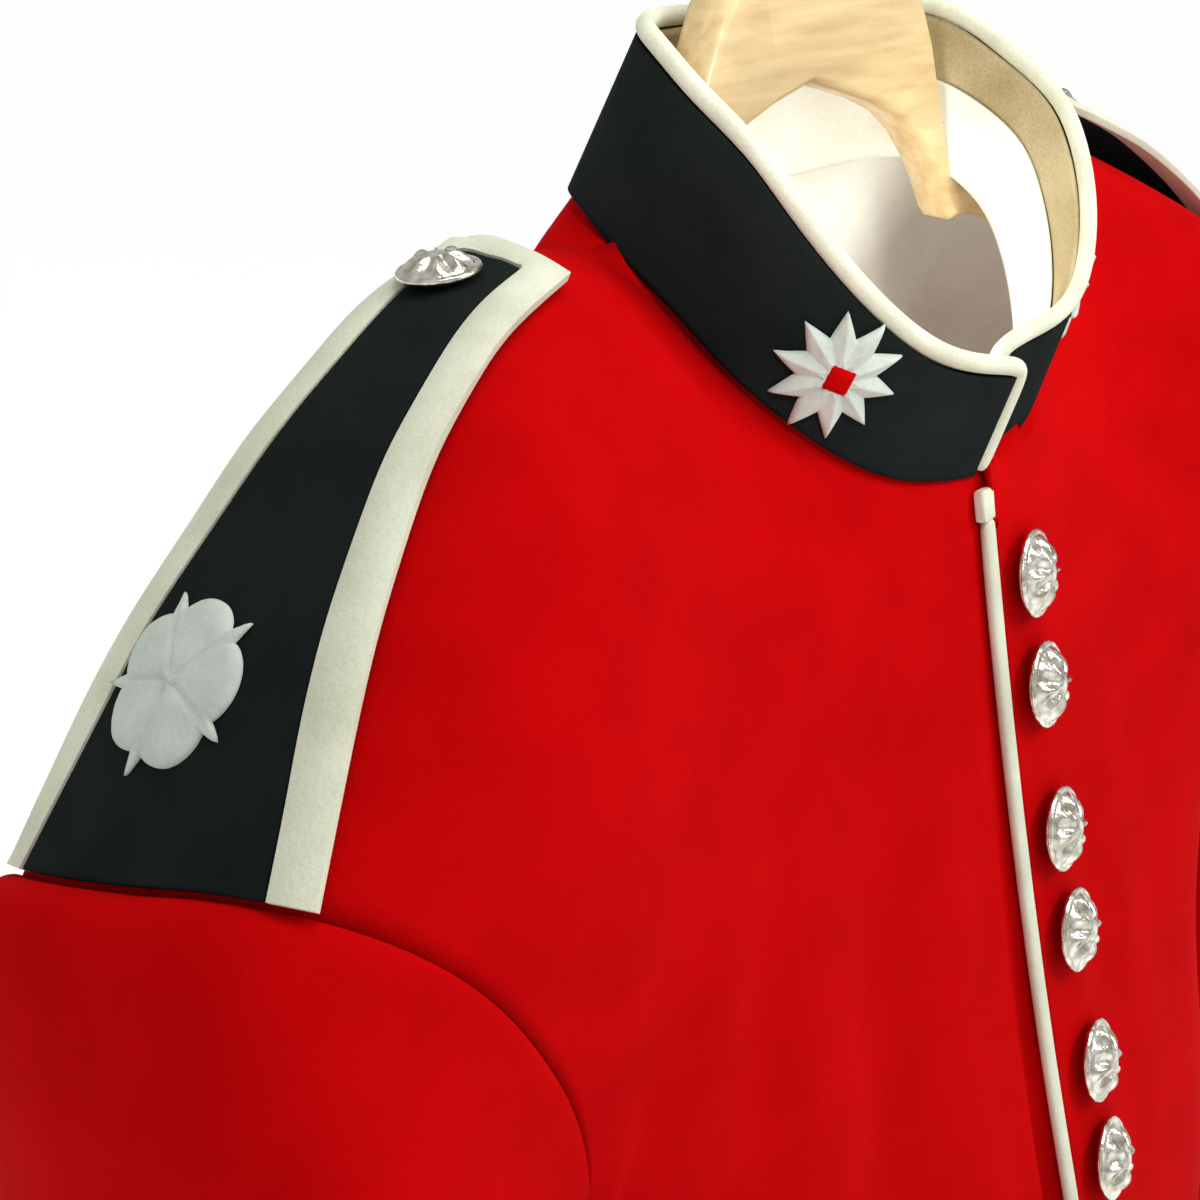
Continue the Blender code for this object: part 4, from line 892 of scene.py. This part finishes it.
for side in ("left", "right"):
    node = "strap_" + side
    cloth = rounded_solid(node, STRAP_ROUND, 2)
    strap_stand(cloth)
    strap = finished(cloth, node + "_cloth", black_wool)
    part_of_tunic(strap, "black_wool", node)
    trimming("strap_edging_" + side, EDGING_ROUND, 2)
    make_button("strap_button_" + side, (STRAP_TILT if side == "left" else -STRAP_TILT, 0.0, 1.0))

# Badges
# A plain flower of five petals on each strap, and a plain star of ten points on each
# side of the collar, both worked in raised white thread.
BADGE_STEPS = 200
RAY_START = 0.02
PETALS = 5
LEAF_TURN = math.radians(7.0)
FLOWER_RADIUS = 0.0172
FLOWER_RINGS = 22
FLOWER_SIDE = 0.0006
FLOWER_CLEAR = 0.0007
STAR_RADIUS = 0.0165
STAR_RINGS = 20
STAR_POINTS = 10
STAR_VALLEY = 0.60
STAR_CLEAR = 0.0004
LOZENGE_HALF = 0.0031
LOZENGE_RISE = 0.0029
LOZENGE_BULGE = 0.0007
LOZENGE_SIDE = 0.0012


def round_sheet(rings):
    """A flat round of squares that reaches one out from its middle."""
    return turned([(ring / rings, 0.0) for ring in range(rings + 1)], BADGE_STEPS)


def rim_carried(shape):
    """Doubles the open rim of a shape and gives its new points."""
    rim = [edge for edge in shape.edges if edge.is_boundary]
    made = bmesh.ops.extrude_edge_only(shape, edges=rim)
    return [part for part in made["geom"] if isinstance(part, bmesh.types.BMVert)]


def first_tip(node, foot, facing):
    """The level way from a badge's middle to the tip of its longest point."""
    shape = merged_copy(node)
    offs = [(vert.co - foot) - facing * (vert.co - foot).dot(facing) for vert in shape.verts]
    shape.free()
    return max(offs, key=lambda off: off.length).normalized()


def lay_badge(shape, node, ground, outward, clear):
    """Lays a flat badge shape on what carries it, with its own heights kept."""
    foot, facing, _ = node_lay(node, outward)
    along = first_tip(node, foot, facing)
    across = facing.cross(along)
    tree = surface_tree(ground)
    for vert in shape.verts:
        a, b, rise = vert.co
        place = foot + along * a + across * b
        hit = tree.ray_cast(place + facing * RAY_START, -facing)[0]
        base = hit if hit else place
        vert.co = base + facing * (rise + clear)


def petal_reach(turn):
    """The outline's share of the flower's radius at a turn, and the turn from a leaf tip."""
    half = math.pi / PETALS
    off = abs((turn + half) % (2 * half) - half)
    petal = 0.80 + 0.20 * math.sin(min(off / half, 1.0) * math.pi / 2) ** 0.7
    leaf = 1.14 - 0.42 * (off / LEAF_TURN) ** 1.3
    return max(petal, leaf), off


def make_flower(side):
    """A flower of five round petals, with a leaf tip between each two."""
    node = "strap_flower_" + side
    shape = round_sheet(FLOWER_RINGS)
    for vert in shape.verts:
        reach = math.hypot(vert.co.x, vert.co.y)
        turn = math.atan2(vert.co.y, vert.co.x)
        edge, off = petal_reach(turn)
        crease = math.exp(-(off * reach / 0.045) ** 2) * ease(0.0, 0.15, reach)
        vein = 0.10 * math.cos(turn * PETALS * 8) * ease(0.2, 0.6, reach)
        middle = 0.35 * math.exp(-(reach / 0.10) ** 4) * (1.0 + 0.5 * math.cos(turn * PETALS))
        crown = 1.55 * (1.0 - 0.35 * reach) * (1.0 - reach ** 14)
        vert.co *= edge * FLOWER_RADIUS
        vert.co.z = max(crown - 0.55 * crease + 0.3 * vein + middle, 0.0) * MM
    for vert in rim_carried(shape):
        vert.co.z -= FLOWER_SIDE
    outward = (0.3 if side == "left" else -0.3, 0.0, 1.0)
    lay_badge(shape, node, "strap_" + side, outward, FLOWER_CLEAR)
    flower = finished(shape, node + "_thread", badge_white)
    part_of_tunic(flower, "badge_white", node)


def make_star(side):
    """A star of ten ridged points round a low boss, with a small red lozenge on it."""
    node = "collar_star_" + side
    shape = round_sheet(STAR_RINGS)
    half = math.pi / STAR_POINTS
    for vert in shape.verts:
        reach = math.hypot(vert.co.x, vert.co.y)
        turn = math.atan2(vert.co.y, vert.co.x)
        off = abs((turn + half) % (2 * half) - half) / half
        edge = STAR_VALLEY / (STAR_VALLEY + (1.0 - STAR_VALLEY) * off)
        ridge = (1.0 - off) * ease(0.25, 0.5, reach) * (1.0 - 0.5 * reach)
        boss = ease(0.40, 0.33, reach) * 0.5 - ease(0.30, 0.24, reach) * 0.35
        height = (1.3 + 1.5 * (1.0 - reach) + 1.1 * ridge + boss) * (1.0 - reach ** 20 * 0.6)
        vert.co *= edge * STAR_RADIUS
        vert.co.z = height * MM
    for vert in rim_carried(shape):
        vert.co.z = 0.0
    outward = (0.8 if side == "left" else -0.8, -0.8, 0.1)
    lay_badge(shape, node, "collar_" + side, outward, STAR_CLEAR)
    star = finished(shape, node + "_thread", badge_white)
    part_of_tunic(star, "badge_white", node)
    lozenge = bmesh.new()
    bmesh.ops.create_grid(lozenge, x_segments=8, y_segments=8, size=LOZENGE_HALF)
    for vert in lozenge.verts:
        bulge = 1.0 - (max(abs(vert.co.x), abs(vert.co.y)) / LOZENGE_HALF) ** 3
        vert.co.z = LOZENGE_RISE + LOZENGE_BULGE * bulge
    for vert in rim_carried(lozenge):
        vert.co.z -= LOZENGE_SIDE
    lay_badge(lozenge, node, "collar_" + side, outward, STAR_CLEAR)
    centre = finished(lozenge, node + "_lozenge", scarlet_wool)
    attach(centre, "root")


for side in ("left", "right"):
    make_flower(side)
    make_star(side)

# Hanger
# A shaped wooden hanger, varnished, with a plated steel hook screwed into its top. The
# tunic's shoulders rest on its arms.
beech = bpy.data.materials.new("varnished beech")
beech.use_nodes = True
beech_tree = beech.node_tree
beech_shader = beech_tree.nodes["Principled BSDF"]
beech_shader.inputs["Roughness"].default_value = 0.42
beech_shader.inputs["Coat Weight"].default_value = 0.25
beech_shader.inputs["Coat Roughness"].default_value = 0.25
grain_place = beech_tree.nodes.new("ShaderNodeTexCoord")
grain_stretch = beech_tree.nodes.new("ShaderNodeMapping")
grain_stretch.inputs["Scale"].default_value = (0.10, 1.0, 1.0)
grain = beech_tree.nodes.new("ShaderNodeTexNoise")
grain.inputs["Scale"].default_value = 260.0
grain.inputs["Detail"].default_value = 5.0
grain_ramp = beech_tree.nodes.new("ShaderNodeValToRGB")
grain_ramp.color_ramp.elements[0].position = 0.30
grain_ramp.color_ramp.elements[0].color = (0.56, 0.39, 0.18, 1.0)
grain_ramp.color_ramp.elements[1].position = 0.68
grain_ramp.color_ramp.elements[1].color = (0.74, 0.56, 0.29, 1.0)
beech_tree.links.new(grain_place.outputs["Object"], grain_stretch.inputs["Vector"])
beech_tree.links.new(grain_stretch.outputs["Vector"], grain.inputs["Vector"])
beech_tree.links.new(grain.outputs["Fac"], grain_ramp.inputs["Fac"])
beech_tree.links.new(grain_ramp.outputs["Color"], beech_shader.inputs["Base Color"])
noise_bump(beech_tree, beech_shader, ((300.0, 3.0, 0.1, 0.0003),))
HANGER_BEVEL = 0.0012
hanger_shape = merged_copy("hanger")
hanger_shape.faces.index_update()
hanger_shape.edges.index_update()
join_squares(hanger_shape)
hanger_edges = [edge for edge in hanger_shape.edges if edge.calc_face_angle(0.0) > SHARP]
bmesh.ops.bevel(hanger_shape, geom=hanger_edges, offset=HANGER_BEVEL, segments=3, profile=0.5,
                affect="EDGES", material=-1, clamp_overlap=True)
hanger = finished(hanger_shape, "hanger_wood", beech)
part_of_tunic(hanger, "beech", "hanger")

steel = bpy.data.materials.new("plated steel")
steel.use_nodes = True
steel_shader = steel.node_tree.nodes["Principled BSDF"]
steel_shader.inputs["Base Color"].default_value = (0.62, 0.62, 0.62, 1.0)
steel_shader.inputs["Metallic"].default_value = 1.0
steel_shader.inputs["Roughness"].default_value = 0.28
noise_bump(steel.node_tree, steel_shader, ((900.0, 2.0, 0.15, 0.0001),))
hook = finished(rounded_solid("hanger_hook", 0.0, 2), "hanger_hook_steel", steel)
part_of_tunic(hook, "steel", "hanger_hook")

# Floor, lights and camera
# A pale floor, with soft light from the camera's right and from above, as in a small
# studio, and two small lights that reach the lining through the neck.
FLOOR_HALF = 40.0
FLOOR_HEIGHT = -1.30
floor_shape = bmesh.new()
bmesh.ops.create_grid(floor_shape, x_segments=1, y_segments=1, size=FLOOR_HALF)
floor = to_object(floor_shape, "floor")
for vert in floor.data.vertices:
    vert.co.z = FLOOR_HEIGHT
pale = bpy.data.materials.new("pale floor")
pale.use_nodes = True
pale_shader = pale.node_tree.nodes["Principled BSDF"]
pale_shader.inputs["Base Color"].default_value = (0.92, 0.92, 0.92, 1.0)
pale_shader.inputs["Roughness"].default_value = 0.9
pale_shader.inputs["Emission Color"].default_value = (1.0, 1.0, 1.0, 1.0)
pale_shader.inputs["Emission Strength"].default_value = 0.50
floor.data.materials.append(pale)

bpy.context.scene.view_settings.view_transform = "Standard"
world = bpy.data.worlds.new("studio")
bpy.context.scene.world = world
world.use_nodes = True
surround = world.node_tree.nodes["Background"]
surround.inputs["Color"].default_value = (1.0, 1.0, 1.0, 1.0)
surround.inputs["Strength"].default_value = 0.52

# The camera's own right, up and forward, and where it stands, in metres
RIGHT = Vector((0.63809, -0.76827, 0.05096))
UP = Vector((0.2945, 0.30468, 0.90578))
AHEAD = Vector((0.71141, 0.56296, -0.42067))
CAMERA_AT = Vector((-0.4032, -0.2626, -0.0739))


def lay_towards(place, target):
    """The lay of a light that stands at a place and faces its target."""
    way = Vector(target) - Vector(place)
    return Matrix.Translation(place) @ way.to_track_quat("-Z", "Y").to_matrix().to_4x4()


def lamp(name, place, target, size, watts):
    """A square soft light that faces a place."""
    data = bpy.data.lights.new(name, "AREA")
    data.shape = "SQUARE"
    data.size = size
    data.energy = watts
    light = bpy.data.objects.new(name, data)
    bpy.context.scene.collection.objects.link(light)
    light.matrix_world = lay_towards(place, target)


lamp("window", (0.66, -1.17, 0.82), (0.0, -0.05, -0.3), 0.8, 13.5)
lamp("ceiling", (0.1, -0.2, 1.2), (0.0, 0.0, -0.2), 0.8, 8.0)
lamp("fill inside the neck", (-0.030, -0.048, -0.200), (0.05, 0.02, -0.300), 0.02, 0.21)
beam_data = bpy.data.lights.new("beam into the neck", "SPOT")
beam_data.spot_size = math.radians(19)
beam_data.spot_blend = 1.0
beam_data.shadow_soft_size = 0.05
beam_data.energy = 14.0
beam = bpy.data.objects.new("beam into the neck", beam_data)
bpy.context.scene.collection.objects.link(beam)
BEAM_FROM = (-0.40, -0.36, 0.24)
BEAM_TO = (0.035, 0.0, -0.20)
beam.matrix_world = lay_towards(BEAM_FROM, BEAM_TO)

camera_data = bpy.data.cameras.new("camera")
camera_data.lens = 51.8
camera_data.sensor_width = 36.0
camera_data.clip_start = 0.02
camera = bpy.data.objects.new("camera", camera_data)
bpy.context.scene.collection.objects.link(camera)
facing = Matrix((RIGHT, UP, -AHEAD)).transposed().to_4x4()
camera.matrix_world = Matrix.Translation(CAMERA_AT) @ facing
bpy.context.scene.camera = camera
